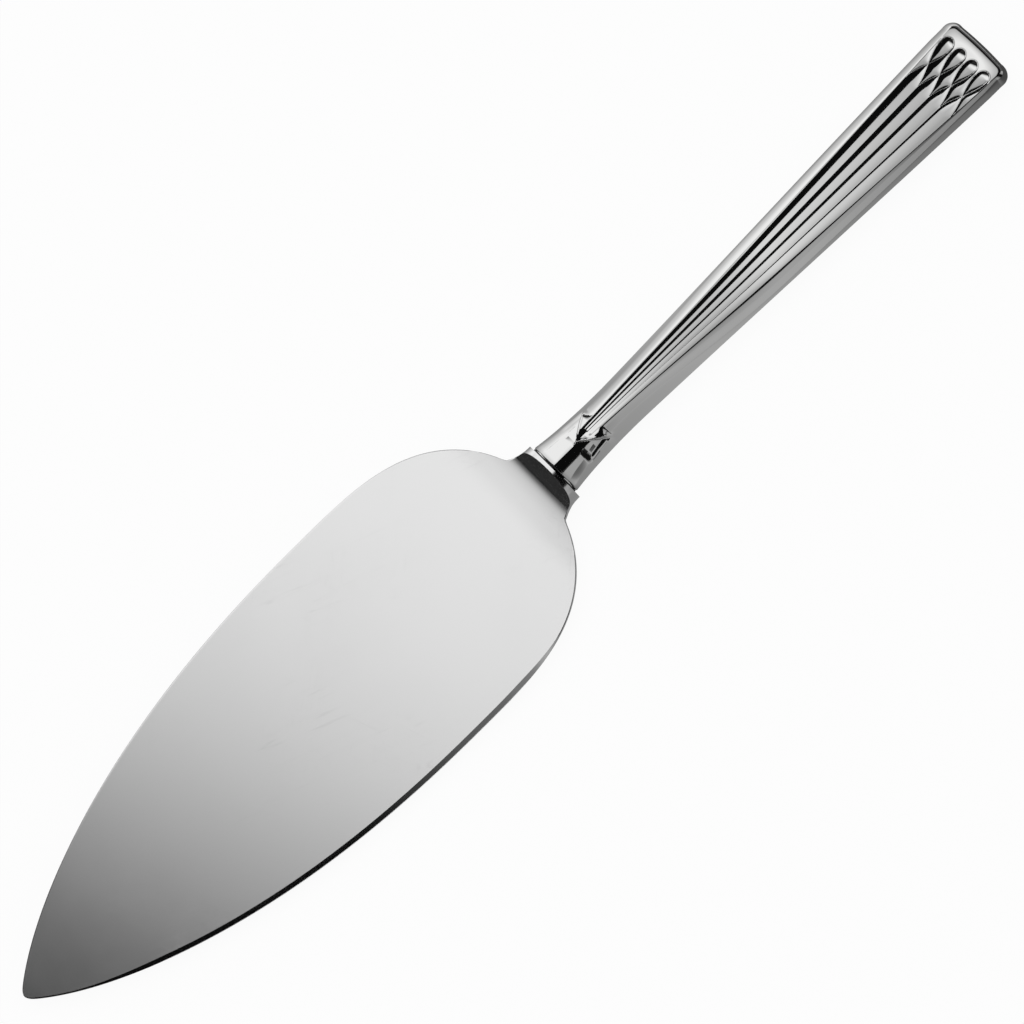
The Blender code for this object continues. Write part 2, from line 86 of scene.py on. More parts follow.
# places from the tip in millimetres, and how steeply the cove climbs there
COVE_SLOPES = (
    (136.0, 0.0), (138.0, 0.025), (139.6, 0.045), (141.4, 0.052), (143.0, 0.07), (143.8, 0.08),
    (144.6, 0.10), (145.0, 0.125), (145.4, 0.152), (145.8, 0.17), (146.2, 0.185), (146.6, 1.0),
    (147.2, 1.9), (147.8, 2.8), (148.6, 4.0), (149.2, 6.0),
)
BOLSTER_END = 149.3 * MM
BLADE_DROP = 1.3 * MM
TANG_LENGTH = 50.0 * MM
TANG_ROOT = (4.6 * MM, 3.0 * MM)
TANG_END = (2.6 * MM, 1.4 * MM)
SPIGOT = (11.9 * MM, 9.0 * MM)
SPIGOT_LENGTH = 0.28 * MM

# Handle: u runs along it from its mouth. Its neck stays round for longer than the solids'
HANDLE_START = 149.6 * MM
MOUTH_WIDTH = 12.2 * MM
WAIST_WIDTH = 10.2 * MM
BUTT_WIDTH = 16.95 * MM
WAIST_PLACE = 18.0 * MM
BUTT_WIDEST_PLACE = 113.8 * MM
BUTT_CORNER_RADIUS = 2.0 * MM
BUTT_END_BULGE = 0.5 * MM
BUTT_PLACE = 119.9 * MM
NECK_FLARE_POWER = 2.6
SHANK_SWELL_SHARE = 0.15
SHANK_CURVE_POWERS = (1.15, 3.0)
MOUTH_RIM_HEIGHT = 4.75 * MM
NECK_RIM_HEIGHT = 5.10 * MM
WAIST_RIM_HEIGHT = 2.65 * MM
BUTT_RIM_HEIGHT = 2.6 * MM
NECK_TOP_PLACE = 8.0 * MM
THINNEST_PLACE = 60.0 * MM
END_BEVEL_LENGTH = 1.5 * MM
PANEL_END_PLACE = 118.4 * MM
MOUTH_ROUNDNESS_POWER = 1.3
NECK_ROUNDNESS_POWER = 1.5
SHANK_ROUNDNESS_POWER = 1.25
BUTT_ROUNDNESS_POWER = 1.2
END_ROUNDNESS_POWER = 2.0
HOLLOW_NECK_POWER = 1.8
NECK_RUN = 6.0 * MM
ROUND_NECK_LENGTH = 11.2 * MM
FACET_RUN = 1.8 * MM
PANEL_START_PLACE = 6.0 * MM
PANEL_NECK_WIDTH = 2.0 * MM
PANEL_BUTT_WIDTH = 13.6 * MM
PANEL_HOLLOW = 0.42 * MM
HOLLOW_NECK_SHARE = 0.5
FLUTE_COUNT = 4
FLUTE_DEPTH = 0.26 * MM
SHELL_WALL = 0.6 * MM
SEAT_GAP = 0.3 * MM
INNER_END_PLACE = 118.55 * MM
SEAM_HAIRLINE = 0.01 * MM
MOUTH_ROUNDING = 0.45 * MM
# darkening of the handle's mouth edge: painted shade where the handle meets the bolster
MOUTH_SHADE = 0.8
MOUTH_SHADE_LENGTH = 1.3 * MM
PANEL_CORNER_RADIUS = 1.3 * MM
CORNER_BEVEL_SPARE = 0.37 * MM
ON_PANEL_SPARE = 1.0001

# Interlaced arches in which the fluting ends at the butt
ARCH_START = 104.3 * MM
ARCH_FULL = 114.7 * MM
ARCH_ROUND = 115.35 * MM
ARCH_SIDE_SHARE = 0.8
ARCH_CELL_SHARE = 0.7
BORDER_FADE = 1.2 * MM
ARCH_CROSSING_WIDTH = 0.2
ARCH_CROSSING_RUN_SHARE = 0.25
THREAD_START = 104.5 * MM
THREAD_FADE = 2.0 * MM

# Leaf at the neck, from which the fluting springs
LEAF_START = 7.0 * MM
LEAF_RUN = 8.0 * MM
LEAF_REACH = 4.0 * MM
LEAF_ROUNDNESS_POWER = 2.1
LEAF_FLANK = 0.3 * MM
LEAF_THREAD_HEIGHT = 0.05 * MM
LEAF_THREAD_WIDTH = 0.8 * MM
LEAF_OPENING = 1.5 * MM
LEAF_FADE_START = 11.5 * MM
LEAF_FADE = 3.0 * MM
POINT_START = 6.2 * MM
POINT_WIDENING = 0.42
POINT_HALF_WIDTH = 0.15 * MM
POINT_DEPTH = 0.4 * MM
POINT_END = 9.5 * MM
POINT_RUN = 2.0 * MM
POINT_FADE = 0.6 * MM
SCOOP_START = 5.5 * MM
SCOOP_RUN = 2.1 * MM
SCOOP_OUTER_START = (6.0 * MM, 4.7 * MM)
SCOOP_OUTER_END = (13.2 * MM, 3.9 * MM)
SCOOP_OUTER_RUN = 1.0 * MM
SCOOP_DEPTH = 0.38 * MM
SCOOP_FALL = 0.02
SCOOP_FAR_SHARE = 0.3
SCOOP_MIDDLE_RUN = 1.0 * MM
SCOOP_END_POWER = 8

# Whole knife
TIP_X = -135.0 * MM
SEAM_Z = 5.3 * MM
BLADE_Z = 4.0 * MM

# Rows and columns of the surfaces
FRONT_ROWS = 90
REAR_ROWS = 70
COVE_ROWS = 36
COVE_TABLE_ROWS = 400
BOLSTER_ROWS = 12
BLADE_INNER_COLUMNS = 60
RIM_COLUMNS = 5
BEVEL_COLUMNS = 5
MOUTH_ROWS = 10
NECK_ROWS = 180
SHANK_ROWS = 80
ARCH_ROWS = 160
END_ROWS = 30
NECK_ROWS_END = 16.0 * MM
ARCH_ROWS_START = 102.0 * MM
END_ROWS_CROWDING = 0.6
SLOPE_CROWDING = 0.5
COLUMNS_PER_FLUTE = 32
SLOPE_COLUMNS = 36
INNER_ROWS = 24
INNER_COLUMNS = 20
WELD_DISTANCE = 0.0005 * MM
CRISP_ANGLE = 40.0
LEAST_LENGTH = 1e-12

# Camera: it stands over the knife and leans a little to the -Y side
VIEW_WIDTH = 204.7 * MM
CAMERA_DISTANCE = 900.0 * MM
CAMERA_TILT = 11.5
CAMERA_ROLL = 44.71
CAMERA_AIM = (2.53 * MM, 0.08 * MM, 5.3 * MM)
SENSOR_WIDTH = 36.0
CAMERA_CLIP_START = 10 * MM

# Finishes
WHITE = (1.0, 1.0, 1.0, 1.0)
NOISE_MIDDLE = (0.3, 0.7)
# turn about Z, stretch along and across, half width and place in the noise of each set of scratches
HAIR_SCRATCHES = (
    (0.35, 26.0, 900.0, 0.012, 0.0), (-0.72, 34.0, 1200.0, 0.010, 3.1), (1.25, 45.0, 1500.0, 0.008, 7.7),
)
HAIR_LEVEL = 0.62
STEEL_ROUGHNESS_SWING = 0.02
STEEL_TONE_SWING = 0.03
SCRATCH_ROUGHNESS = 0.06
BEVEL_POLISH = 0.06
GRAIN_SHARE = 0.35
# near-black tone of the spigot: painted shade in the gap between the bolster and the handle's mouth
SPIGOT_SHADE_TONE = 0.04
SILVER_ROUGHNESS_SHARES = (0.75, 1.3)
RECESS_ROUGHNESS = 0.12
GRAINS_SHARE = 0.3

# Floor and lamp, in metres
FLOOR_REACH = 4.0
FLOOR_WHITE_SHARE = 0.94
LAMP_SIZE = 1.2
LAMP_PLACE = (0.1, 0.3, 1.3)

# Painted reflections, which only metal mirrors, as stops of a place in metres along X and a tone there. The
# floor:
FLOOR_STOPS = (
    (-0.20, 0.01), (-0.12, 0.015), (-0.095, 0.03), (-0.03, 0.25), (0.013, 0.26), (0.035, 0.36),
    (0.054, 0.43), (0.102, 0.25), (0.131, 0.16), (0.138, 0.07), (0.20, 0.05),
)
# the floor's lighter part, with its places along Y, and where along X it sets in; nearer the knife it stays
# dark as painted shade
FAR_FLOOR_STOPS = ((0.008, 0.0), (0.014, 0.30), (0.025, 0.60), (0.06, 0.85), (0.20, 1.0))
FAR_FLOOR_RAMP = (-0.12, 0.0)
# the cards' tones below are painted reflections for the metal
# the overhead card: along the slanted line x + TIP_SLANT * y past the tip, and along X past the butt
TIP_SLANT = 0.4
TIP_SLANT_MIDDLE = 179 * MM
TIP_STOPS = (
    (-0.60, 0.03), (-0.34, 0.015), (-0.30, 0.01), (-0.285, 0.014), (-0.26, 0.05), (-0.228, 0.18),
    (-0.203, 0.32), (-0.173, 0.48), (-0.149, 0.61), (-0.114, 0.76), (-0.074, 0.87), (-0.049, 0.91),
    (-0.017, 0.93), (0.02, 0.94), (0.06, 1.0),
)
BUTT_STOPS = (
    (0.08, 1.0), (0.15, 0.82), (0.208, 0.67), (0.233, 0.59), (0.30, 0.45), (0.44, 0.40),
    (0.47, 0.006), (1.40, 0.006),
)
# the two cards at the -Y side, one over the other, which are light again far past the butt
SIDE_FAR_STOPS = ((0.6, 0.006), (0.75, 0.35), (2.5, 0.7))
SIDE_STOPS = (
    (-0.25, 0.004), (-0.196, 0.014), (-0.116, 0.07), (-0.06, 0.13), (-0.02, 0.16), (0.024, 0.25),
    (0.05, 0.36), (0.106, 0.45), (0.202, 0.27), (0.258, 0.18), (0.285, 0.15), (0.31, 0.006),
    *SIDE_FAR_STOPS,
)
UPPER_SIDE_STOPS = (
    (-0.3, 0.42), (-0.03, 0.4), (0.05, 0.38), (0.106, 0.42), (0.16, 0.3), (0.2, 0.02), (0.39, 0.006),
    *SIDE_FAR_STOPS,
)
SIDE_CARDS = (("side_card", 0.0, 0.3, SIDE_STOPS), ("upper_side_card", 0.3, 0.64, UPPER_SIDE_STOPS))
SIDE_CARD_Y = -900 * MM
OVERHEAD_HEIGHT = 890 * MM
OVERHEAD_REACH = 4.0
CARD_REACH = 3.0
CAMERA_CARD_DROP = 10 * MM
CAMERA_CARD_ANGLES = (3.0, 52.0)
TIP_CARD_X = -1.1
BUTT_CARD_X = 1.45


def ease(share):
    """Goes smoothly from 0 to 1 as the share goes from 0 to 1: 3 share^2 - 2 share^3."""
    share = np.clip(share, 0.0, 1.0)
    return share * share * (3.0 - 2.0 * share)


def between(first, last, share):
    """The value at this share of the way from first to last."""
    return first + (last - first) * share


def round_ramp(share, power):
    """Rises from 0 to 1 like a quarter of a superellipse: (1 - (1 - share)^power)^(1/power)."""
    share = np.clip(share, 0.0, 1.0)
    return (1.0 - (1.0 - share) ** power) ** (1.0 / power)


class Surface:
    """Points, point values and faces of one piece, put together from grids and strips."""

    def __init__(self):
        self.points = []
        self.values = []
        self.faces = []
        self.count = 0

    def grid(self, x, y, z, value=0.0):
        """Adds a grid of points with the faces between them and returns the points' indexes."""
        x, y, z, value = np.broadcast_arrays(x, y, z, value)
        index = self.count + np.arange(x.size).reshape(x.shape)
        self.points.append(np.stack([x, y, z], axis=-1).reshape(-1, 3))
        self.values.append(value.reshape(-1))
        self.count += x.size
        if min(x.shape) > 1:
            quads = [index[:-1, :-1], index[1:, :-1], index[1:, 1:], index[:-1, 1:]]
            self.faces += np.stack(quads, axis=-1).reshape(-1, 4).tolist()
        return index

    def strip(self, first, second):
        """Adds a strip of quads between two lines of the same number of points."""
        quads = [first[:-1], first[1:], second[1:], second[:-1]]
        self.faces += np.stack(quads, axis=-1).tolist()

    def zip(self, first, first_place, second, second_place):
        """Adds triangles between two lines of points, each next triangle where a line is behind.

        The places of both lines' points run from 0 to 1. The triangles follow
        the order of all the places after the first ones.
        """
        places = np.concatenate([first_place[1:], second_place[1:]])
        on_first = np.concatenate([np.ones(len(first) - 1, int), np.zeros(len(second) - 1, int)])
        on_first = on_first[np.argsort(places, kind="stable")]
        i = np.concatenate([[0], np.cumsum(on_first)[:-1]])
        j = np.concatenate([[0], np.cumsum(1 - on_first)[:-1]])
        last_i = np.minimum(i + 1, len(first) - 1)
        last_j = np.minimum(j + 1, len(second) - 1)
        third = np.where(on_first == 1, first[last_i], second[last_j])
        self.faces += np.stack([first[i], third, second[j]], axis=-1).tolist()

    def build(self, name, value_name):
        """Makes the mesh object: welded, closed, with its faces outward and smooth between crisp edges."""
        mesh = bpy.data.meshes.new(name)
        mesh.from_pydata(np.concatenate(self.points).tolist(), [], self.faces)
        attribute = mesh.attributes.new(value_name, "FLOAT", "POINT")
        attribute.data.foreach_set("value", np.concatenate(self.values).astype(np.float32))
        bm = bmesh.new()
        bm.from_mesh(mesh)
        bmesh.ops.remove_doubles(bm, verts=bm.verts[:], dist=WELD_DISTANCE)
        bmesh.ops.dissolve_degenerate(bm, edges=bm.edges[:], dist=WELD_DISTANCE / 100)
        bmesh.ops.recalc_face_normals(bm, faces=bm.faces[:])
        if bm.calc_volume(signed=True) < 0.0:
            bmesh.ops.reverse_faces(bm, faces=bm.faces[:])
        open_edges = sum(1 for edge in bm.edges if not edge.is_manifold)
        bm.to_mesh(mesh)
        bm.free()
        if open_edges:
            raise RuntimeError(f"{name} has {open_edges} open edges")
        mesh.shade_smooth()
        mesh.set_sharp_from_angle(angle=np.radians(CRISP_ANGLE))
        obj = bpy.data.objects.new(name, mesh)
        bpy.context.scene.collection.objects.link(obj)
        return obj


def place(piece, node, slot, material):
    """Gives a finished piece its material and body, in place of the CAD node."""
    piece.data.materials.append(material)
    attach(piece, "root")
    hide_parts(node)


def leaf_half_width(s):
    """Half the blade's width: a superellipse to each side of the widest place."""
    a, b = FRONT_CURVE_POWERS
    c, d = REAR_CURVE_POWERS
    ahead = np.clip((WIDEST_PLACE - s) / WIDEST_PLACE, 0.0, 1.0)
    behind = np.clip((s - WIDEST_PLACE) / (BLADE_LENGTH - WIDEST_PLACE), 0.0, 1.0)
    front = (1.0 - ahead ** a) ** (1.0 / b)
    rear = (1.0 - behind ** c) ** (1.0 / d)
    return BLADE_WIDTH / 2 * np.where(s < WIDEST_PLACE, front, rear)


def blade_half_width(s):
    """Half the outline's width: the leaf's, or the bolster's where that is wider.

    The blunt tip adds sqrt((1 - e^(-s/rise)) * e^(-s/fall)) to the leaf's,
    square to it, and the fillet is a parabola.
    """
    flare = BOLSTER_FLARE * (1.0 - ease((s - BOLSTER_START) / (BOLSTER_END - BOLSTER_START)))
    past_start = np.clip((s - BOLSTER_FILLET_START) / BOLSTER_FILLET_LENGTH, 0.0, 1.0)
    fillet = BOLSTER_FILLET * (1.0 - past_start) ** 2
    bolster = np.where(s > WIDEST_PLACE, BOLSTER_WIDTH / 2 + flare + fillet, 0.0)
    rise, fall = TIP_BLUNT_RUNS
    from_tip = np.clip(s, 0.0, None)
    blunt = TIP_BLUNTNESS * np.sqrt((1.0 - np.exp(-from_tip / rise)) * np.exp(-from_tip / fall))
    return np.maximum(np.maximum(np.hypot(leaf_half_width(s), blunt), bolster), TIP_WIDTH / 2)


def bevel_width(s):
    """Width of the ground bevel: it grows from the tip and narrows away at its end, along the ease curve."""
    start, run = EDGE_BEVEL_GROWTH
    grown = between(EDGE_BEVEL_START_SHARE, 1.0, ease((s - start) / run))
    return EDGE_BEVEL_WIDTH * grown * (1.0 - ease((s - EDGE_BEVEL_END) / EDGE_BEVEL_FADE))


def cove_table():
    """Places along the blade and the height the cove has climbed there: the running sum of its slopes."""
    places = np.linspace(COVE_START, COVE_END, COVE_TABLE_ROWS)
    at, slopes = np.array(COVE_SLOPES).T
    slope = np.interp(places, at * MM, slopes)
    steps = np.diff(places) * (slope[1:] + slope[:-1]) / 2
    return places, np.append(0.0, np.cumsum(steps))


def blade_insets(s):
    """Insets from the rim of the outer columns.

    They are cosine-spaced on the rounding and even on the bevel, and one more
    column close inside the bevel keeps its edge crisp.
    """
    rounding = RIM_ROUNDING * (1.0 - np.cos(np.linspace(0.0, np.pi / 2, RIM_COLUMNS)))
    inner = np.maximum(bevel_width(s), RIM_ROUNDING + LEAST_BEVEL_COLUMNS)
    shares = np.linspace(0.0, 1.0, BEVEL_COLUMNS)[1:]
    rounding = rounding + 0 * s[..., None]
    inner = inner[..., None]
    return np.concatenate([rounding, between(RIM_ROUNDING, inner, shares), inner + BEVEL_GUARD], axis=-1)


def blade_column_count():
    """Number of points across a broad face."""
    return 2 * (RIM_COLUMNS + BEVEL_COLUMNS) + BLADE_INNER_COLUMNS


def across_blade(s, half):
    """Place across the blade of each column: along the rims on the leaf, cosine-spaced on the bolster."""
    insets = blade_insets(s[:, 0])
    ones = np.ones(insets.shape[1])
    inner = np.linspace(-1.0, 1.0, BLADE_INNER_COLUMNS + 2)[1:-1]
    shares = np.concatenate([-ones, inner, ones])
    inner_insets = np.repeat(insets[:, -1:], len(inner), axis=1)
    insets = np.concatenate([insets, inner_insets, insets[:, ::-1]], axis=1)
    fit = np.minimum(1.0, half / insets[:, len(ones)][:, None] / 2)
    on_leaf = shares * (half - fit * insets)
    on_bolster = -np.cos(np.linspace(0.0, np.pi, len(shares))) * half
    start = EDGE_BEVEL_END + EDGE_BEVEL_FADE
    return between(on_leaf, on_bolster, ease((s - start) / (BOLSTER_START - start)))


def blade_face(leaf, cove, crown, side):
    """Places (s, y, z) and bevel share of one broad face; side is 1 on top and -1 below.

    Flat, with a quarter-ellipse rounding at the rim and a plane bevel on the
    upper -Y edge. At the bolster it climbs the cove's table of heights as far
    as the bolster's crown, an ellipse across, and rows past that line stop on
    it.
    """
    columns = blade_column_count()
    full_rise = BOLSTER_HEIGHT / 2 + side * BLADE_DROP - BLADE_THICKNESS / 2
    over_middle = np.abs(np.cos(np.linspace(0.0, np.pi, columns)))
    arch = (1.0 - over_middle ** BOLSTER_CROWN_POWER) ** (1.0 / BOLSTER_CROWN_POWER)
    rise = between(BOLSTER_SIDE_RISE, full_rise, arch)
    cove_places, cove_heights = cove_table()
    crease = np.interp(rise, cove_heights, cove_places)

    s_leaf = np.repeat(leaf[:, None], columns, axis=1)
    s_cove = np.minimum(between(COVE_START, COVE_END, cove[:, None]), crease[None, :])
    s_crown = between(crease[None, :], BOLSTER_END, crown[:, None])
    s = np.concatenate([s_leaf, s_cove, s_crown])
    half = blade_half_width(s)
    y = across_blade(s, half)

    climb = np.interp(s, cove_places, cove_heights)
    climb[-len(crown):] = rise[None, :]

    flat = 1.0 - ease((s - BOLSTER_START) / (crease[None, :] - BOLSTER_START))
    from_rim = half - np.abs(y)
    rim_fall = 1.0 - round_ramp(from_rim / RIM_ROUNDING, 2.0)
    drop = flat * rim_fall * (BLADE_THICKNESS - RIM_THICKNESS) / 2
    ground = np.zeros_like(s)
    if side > 0:
        within = np.where(y < 0.0, np.clip(bevel_width(s) - from_rim, 0.0, None), 0.0)
        drop = np.maximum(drop, (BLADE_THICKNESS - EDGE_THICKNESS) * within / EDGE_BEVEL_WIDTH)
        ground = np.where(within > 0.0, 1.0, 0.0)
    z = BLADE_Z + side * (BLADE_THICKNESS / 2 + climb - drop)
    return s, y, z, ground


def tang_ring(s, size, columns):
    """Ring of points round the tang's flat bar, in step with the bolster's end face."""
    shares = np.linspace(-1.0, 1.0, columns)
    y = np.concatenate([shares, shares[::-1]]) * size[0] / 2
    z = np.repeat([1.0, -1.0], columns) * size[1] / 2
    return TIP_X + s + 0 * y, y, SEAM_Z + z


def spigot_ring(s, columns):
    """Ring of points on the neck's section, the step of the bolster that meets the handle's mouth, painted
    dark as shade in the gap.
    """
    across = -np.cos(np.linspace(0.0, np.pi, columns))
    y = across * SPIGOT[0] / 2
    z = round_ramp(1.0 - np.abs(across), NECK_ROUNDNESS_POWER) * SPIGOT[1] / 2
    return TIP_X + s + 0 * np.append(y, y), np.append(y, y[::-1]), SEAM_Z + np.append(z, -z[::-1])


def blade_surface():
    """Blade, bolster and tang as one closed surface; the spigot behind the bolster has the value -1, by which
    it is painted near black as shade.
    """
    front = WIDEST_PLACE * (1.0 - np.cos(np.linspace(0.0, np.pi / 2, FRONT_ROWS)))
    rear = np.sin(np.linspace(0.0, np.pi / 2, REAR_ROWS))[1:-1]
    leaf = np.concatenate([front, between(WIDEST_PLACE, COVE_START, rear)])
    cove = np.sin(np.linspace(0.0, np.pi / 2, COVE_ROWS + 1))
    crown = np.linspace(0.0, 1.0, BOLSTER_ROWS + 1)[1:]
    columns = blade_column_count()

    surface = Surface()
    top, bottom = [surface.grid(TIP_X + s, y, z, ground) for s, y, z, ground in
                   (blade_face(leaf, cove, crown, side) for side in (1, -1))]
    surface.strip(top[0], bottom[0])
    surface.strip(top[:, 0], bottom[:, 0])
    surface.strip(top[:, -1], bottom[:, -1])
    ring = np.concatenate([top[-1], bottom[-1][::-1], top[-1][:1]])
    spigot_end = BOLSTER_END + SPIGOT_LENGTH
    rings = (
        spigot_ring(BOLSTER_END, columns), spigot_ring(spigot_end, columns),
        tang_ring(spigot_end, TANG_ROOT, columns), tang_ring(BOLSTER_END + TANG_LENGTH, TANG_END, columns),
    )
    for x, y, z in rings:
        # the rings behind the bolster get the value -1, which paints them near black as shade
        following = surface.grid(x[None, :], y[None, :], z[None, :], -1.0)[0]
        following = np.concatenate([following, following[:1]])
        surface.strip(ring, following)
        ring = following
    surface.strip(ring[:columns], ring[columns:-1][::-1])
    return surface


def handle_half_width(u):
    """Half the handle's width: a flared neck, a waist, a widening shank and round butt corners."""
    early, late = SHANK_CURVE_POWERS
    flare = (MOUTH_WIDTH - WAIST_WIDTH) / 2
    neck = flare * np.clip(1.0 - u / WAIST_PLACE, 0.0, 1.0) ** NECK_FLARE_POWER
    run = np.clip((u - WAIST_PLACE) / (BUTT_WIDEST_PLACE - WAIST_PLACE), 0.0, 1.0)
    swell = (1.0 + SHANK_SWELL_SHARE) * run ** early - SHANK_SWELL_SHARE * run ** late
    half = WAIST_WIDTH / 2 + neck + (BUTT_WIDTH - WAIST_WIDTH) / 2 * swell
    past = np.clip(u - (BUTT_PLACE - BUTT_CORNER_RADIUS), 0.0, BUTT_CORNER_RADIUS)
    return half - (BUTT_CORNER_RADIUS - np.sqrt(BUTT_CORNER_RADIUS ** 2 - past ** 2))


def rim_height(u):
    """Height of the panel's rim over the seam: thick neck, thin shank, firmer butt."""
    neck = between(MOUTH_RIM_HEIGHT, NECK_RIM_HEIGHT, ease(u / NECK_TOP_PLACE))
    down = ease((u - NECK_TOP_PLACE) / (THINNEST_PLACE - NECK_TOP_PLACE))
    up = ease((u - THINNEST_PLACE) / (BUTT_PLACE - THINNEST_PLACE))
    return neck + (WAIST_RIM_HEIGHT - NECK_RIM_HEIGHT) * down + (BUTT_RIM_HEIGHT - WAIST_RIM_HEIGHT) * up


def panel_half_width(u):
    """Half the fluted panel's width, which opens out evenly towards the butt."""
    share = np.clip((u - PANEL_START_PLACE) / (PANEL_END_PLACE - PANEL_START_PLACE), 0.0, 1.0)
    return between(PANEL_NECK_WIDTH, PANEL_BUTT_WIDTH, share) / 2


def panel_size(u):
    """Width of the panel as a share of its width at the butt."""
    return panel_half_width(u) / (PANEL_BUTT_WIDTH / 2)


def off_flute_middle(across):
    """Place across the flute it lies in, from -1 to 1, for a place across the panel."""
    position = (across + 1.0) / 2 * FLUTE_COUNT
    return 2.0 * (position - np.floor(position)) - 1.0


def arch_swing(u):
    """Share of the arches' run, and a flute edge's place across the flute, from -1 to ARCH_SIDE_SHARE."""
    share = np.clip((u - ARCH_START) / (ARCH_FULL - ARCH_START), 0.0, 1.0)
    return share, between(-1.0, ARCH_SIDE_SHARE, ease(share))


def arch_lines(u, across):
    """Distance to the nearest line of the fluting, and whether the place is past the round ends.

    Up to ARCH_START the lines are the flutes' edges. From there each flute's
    two edges swing over to its other side along the ease curve, cross in its
    middle, run on side by side and close in a half circle.
    """
    width = panel_half_width(u) / FLUTE_COUNT
    off = off_flute_middle(across) * width
    share, swing = arch_swing(u)
    steepness = width * (1.0 + ARCH_SIDE_SHARE) * 6 * share * (1.0 - share) / (ARCH_FULL - ARCH_START)
    beside = np.abs(np.abs(off) - width * np.abs(swing)) / np.sqrt(1.0 + steepness ** 2)
    beyond = np.hypot(u - ARCH_ROUND, off) - ARCH_SIDE_SHARE * width
    distance = np.where(u > ARCH_ROUND, np.abs(beyond), beside)
    loop = np.where(u > ARCH_ROUND, beyond < 0.0, (swing > 0.0) & (np.abs(off) < width * swing))
    return distance, loop


def leaf_line(u):
    """Distance from the middle line to the leaf's edge at u.

    It is a quarter of a sine wave, and goes on straight below 0 before the start.
    """
    share = (u - LEAF_START) / LEAF_RUN
    return LEAF_REACH * np.where(share < 0.0, share * np.pi / 2, np.sin(np.clip(share, 0.0, 1.0) * np.pi / 2))


def beyond_leaf(u, y):
    """Distance outside the leaf's edge, and less than 0 on the leaf."""
    steepness = LEAF_REACH * np.pi / 2 / LEAF_RUN
    return (np.abs(y) - leaf_line(u)) / np.sqrt(1.0 + steepness ** 2)


def rim_half_width(u):
    """Half the width of the flat top: a point that opens out until it meets the panel's own rims."""
    return np.clip(POINT_WIDENING * (u - POINT_START), POINT_HALF_WIDTH, panel_half_width(u))


def panel_drop(u, across):
    """Depth of the panel under its rim.

    A shallow hollow, (1 - across^2), and in it each cell between the lines,
    1 - (1 - d)^2 for the distance d to the nearest line. Beside a crossing
    the cells end on a hyperbola, which rounds off their corners. Both fade to
    the flat border at the butt. In the point at the neck there is one groove
    with straight sides, (1 - |across|), instead.
    """
    distance, loop = arch_lines(u, across)
    width = panel_half_width(u) / FLUTE_COUNT
    share, swing = arch_swing(u)
    reach = width * between(1.0, ARCH_CELL_SHARE, ease(share))
    rounded = width * np.sqrt(swing ** 2 + (ARCH_CROSSING_WIDTH * ease(share / ARCH_CROSSING_RUN_SHARE)) ** 2)
    off = np.abs(off_flute_middle(across)) * width
    straight = u < ARCH_ROUND
    soft = np.where(straight & (off > rounded), off - rounded, distance)
    soft = np.where(straight & (off <= rounded) & (off > width * np.abs(swing)), 0.0, soft)
    cell = 1.0 - (1.0 - np.clip(soft / reach, 0.0, 1.0)) ** 2
    border = 1.0 - ease((u - ARCH_ROUND + BORDER_FADE / 2) / BORDER_FADE)
    cell = cell * np.where(loop, 1.0, border)
    hollow = (1.0 - across ** 2) * (1.0 - ease((u - ARCH_FULL) / (PANEL_END_PLACE - ARCH_FULL)))
    hollow = hollow * PANEL_HOLLOW * between(HOLLOW_NECK_SHARE, 1.0, panel_size(u))
    fluted = ease((u - POINT_END) / POINT_FADE)
    groove = POINT_DEPTH * (1.0 - np.abs(across)) * ease((u - POINT_START) / POINT_RUN)
    flutes = hollow + panel_size(u) * FLUTE_DEPTH * cell
    return between(groove, flutes, fluted)


def bump(distance, half_width):
    """A rounded ridge: (1 - (distance / half width)^2)^2 out to its half width."""
    return np.clip(1.0 - (distance / half_width) ** 2, 0.0, 1.0) ** 2


def scoop(u, y):
    """Depth of the hollow outside the leaf's edge.

    It has a steep wall at its start, a floor that falls evenly along the
    handle up to the narrow step at the leaf's edge, and a soft outer side
    along a straight line. On the +Y side it is fainter.
    """
    (start_u, start_y), (end_u, end_y) = SCOOP_OUTER_START, SCOOP_OUTER_END
    outer = start_y + (u - start_u) * (end_y - start_y) / (end_u - start_u)
    past_start = u - SCOOP_START
    along = np.clip(past_start / (end_u - SCOOP_START), 0.0, 1.0)
    depth = SCOOP_DEPTH * ease(past_start / SCOOP_RUN) + SCOOP_FALL * np.clip(past_start, 0.0, None)
    inside = ease(beyond_leaf(u, y) / LEAF_FLANK) * ease((outer - np.abs(y)) / SCOOP_OUTER_RUN)
    near = between(1.0, SCOOP_FAR_SHARE, ease((y + SCOOP_MIDDLE_RUN / 2) / SCOOP_MIDDLE_RUN))
    return depth * inside * near * (1.0 - along ** SCOOP_END_POWER)


def rise_share(u, y, half, panel):
    """Share of the way up from the outline, 0, to the panel's rim, 1, and how far it is an end bevel.

    With q the distance from the panel's rounded corner's middle, it is
    1 - (q - corner radius) / width, and the bevel's width goes from the side
    bevel's to the end bevel's as the sine and cosine squared of the angle.
    """
    aside = np.maximum(np.abs(y) - (panel - PANEL_CORNER_RADIUS), 0.0)
    ahead = np.maximum(u - (PANEL_END_PLACE - PANEL_CORNER_RADIUS), 0.0)
    angle = np.arctan2(aside, ahead)
    width = (half - panel) * np.sin(angle) ** 2 + END_BEVEL_LENGTH * np.cos(angle) ** 2
    width = width + CORNER_BEVEL_SPARE * np.sin(2 * angle)
    share = np.clip(1.0 - (np.hypot(aside, ahead) - PANEL_CORNER_RADIUS) / width, 0.0, 1.0)
    return share, np.where(ahead > 0.0, np.cos(angle) ** 2, 0.0)


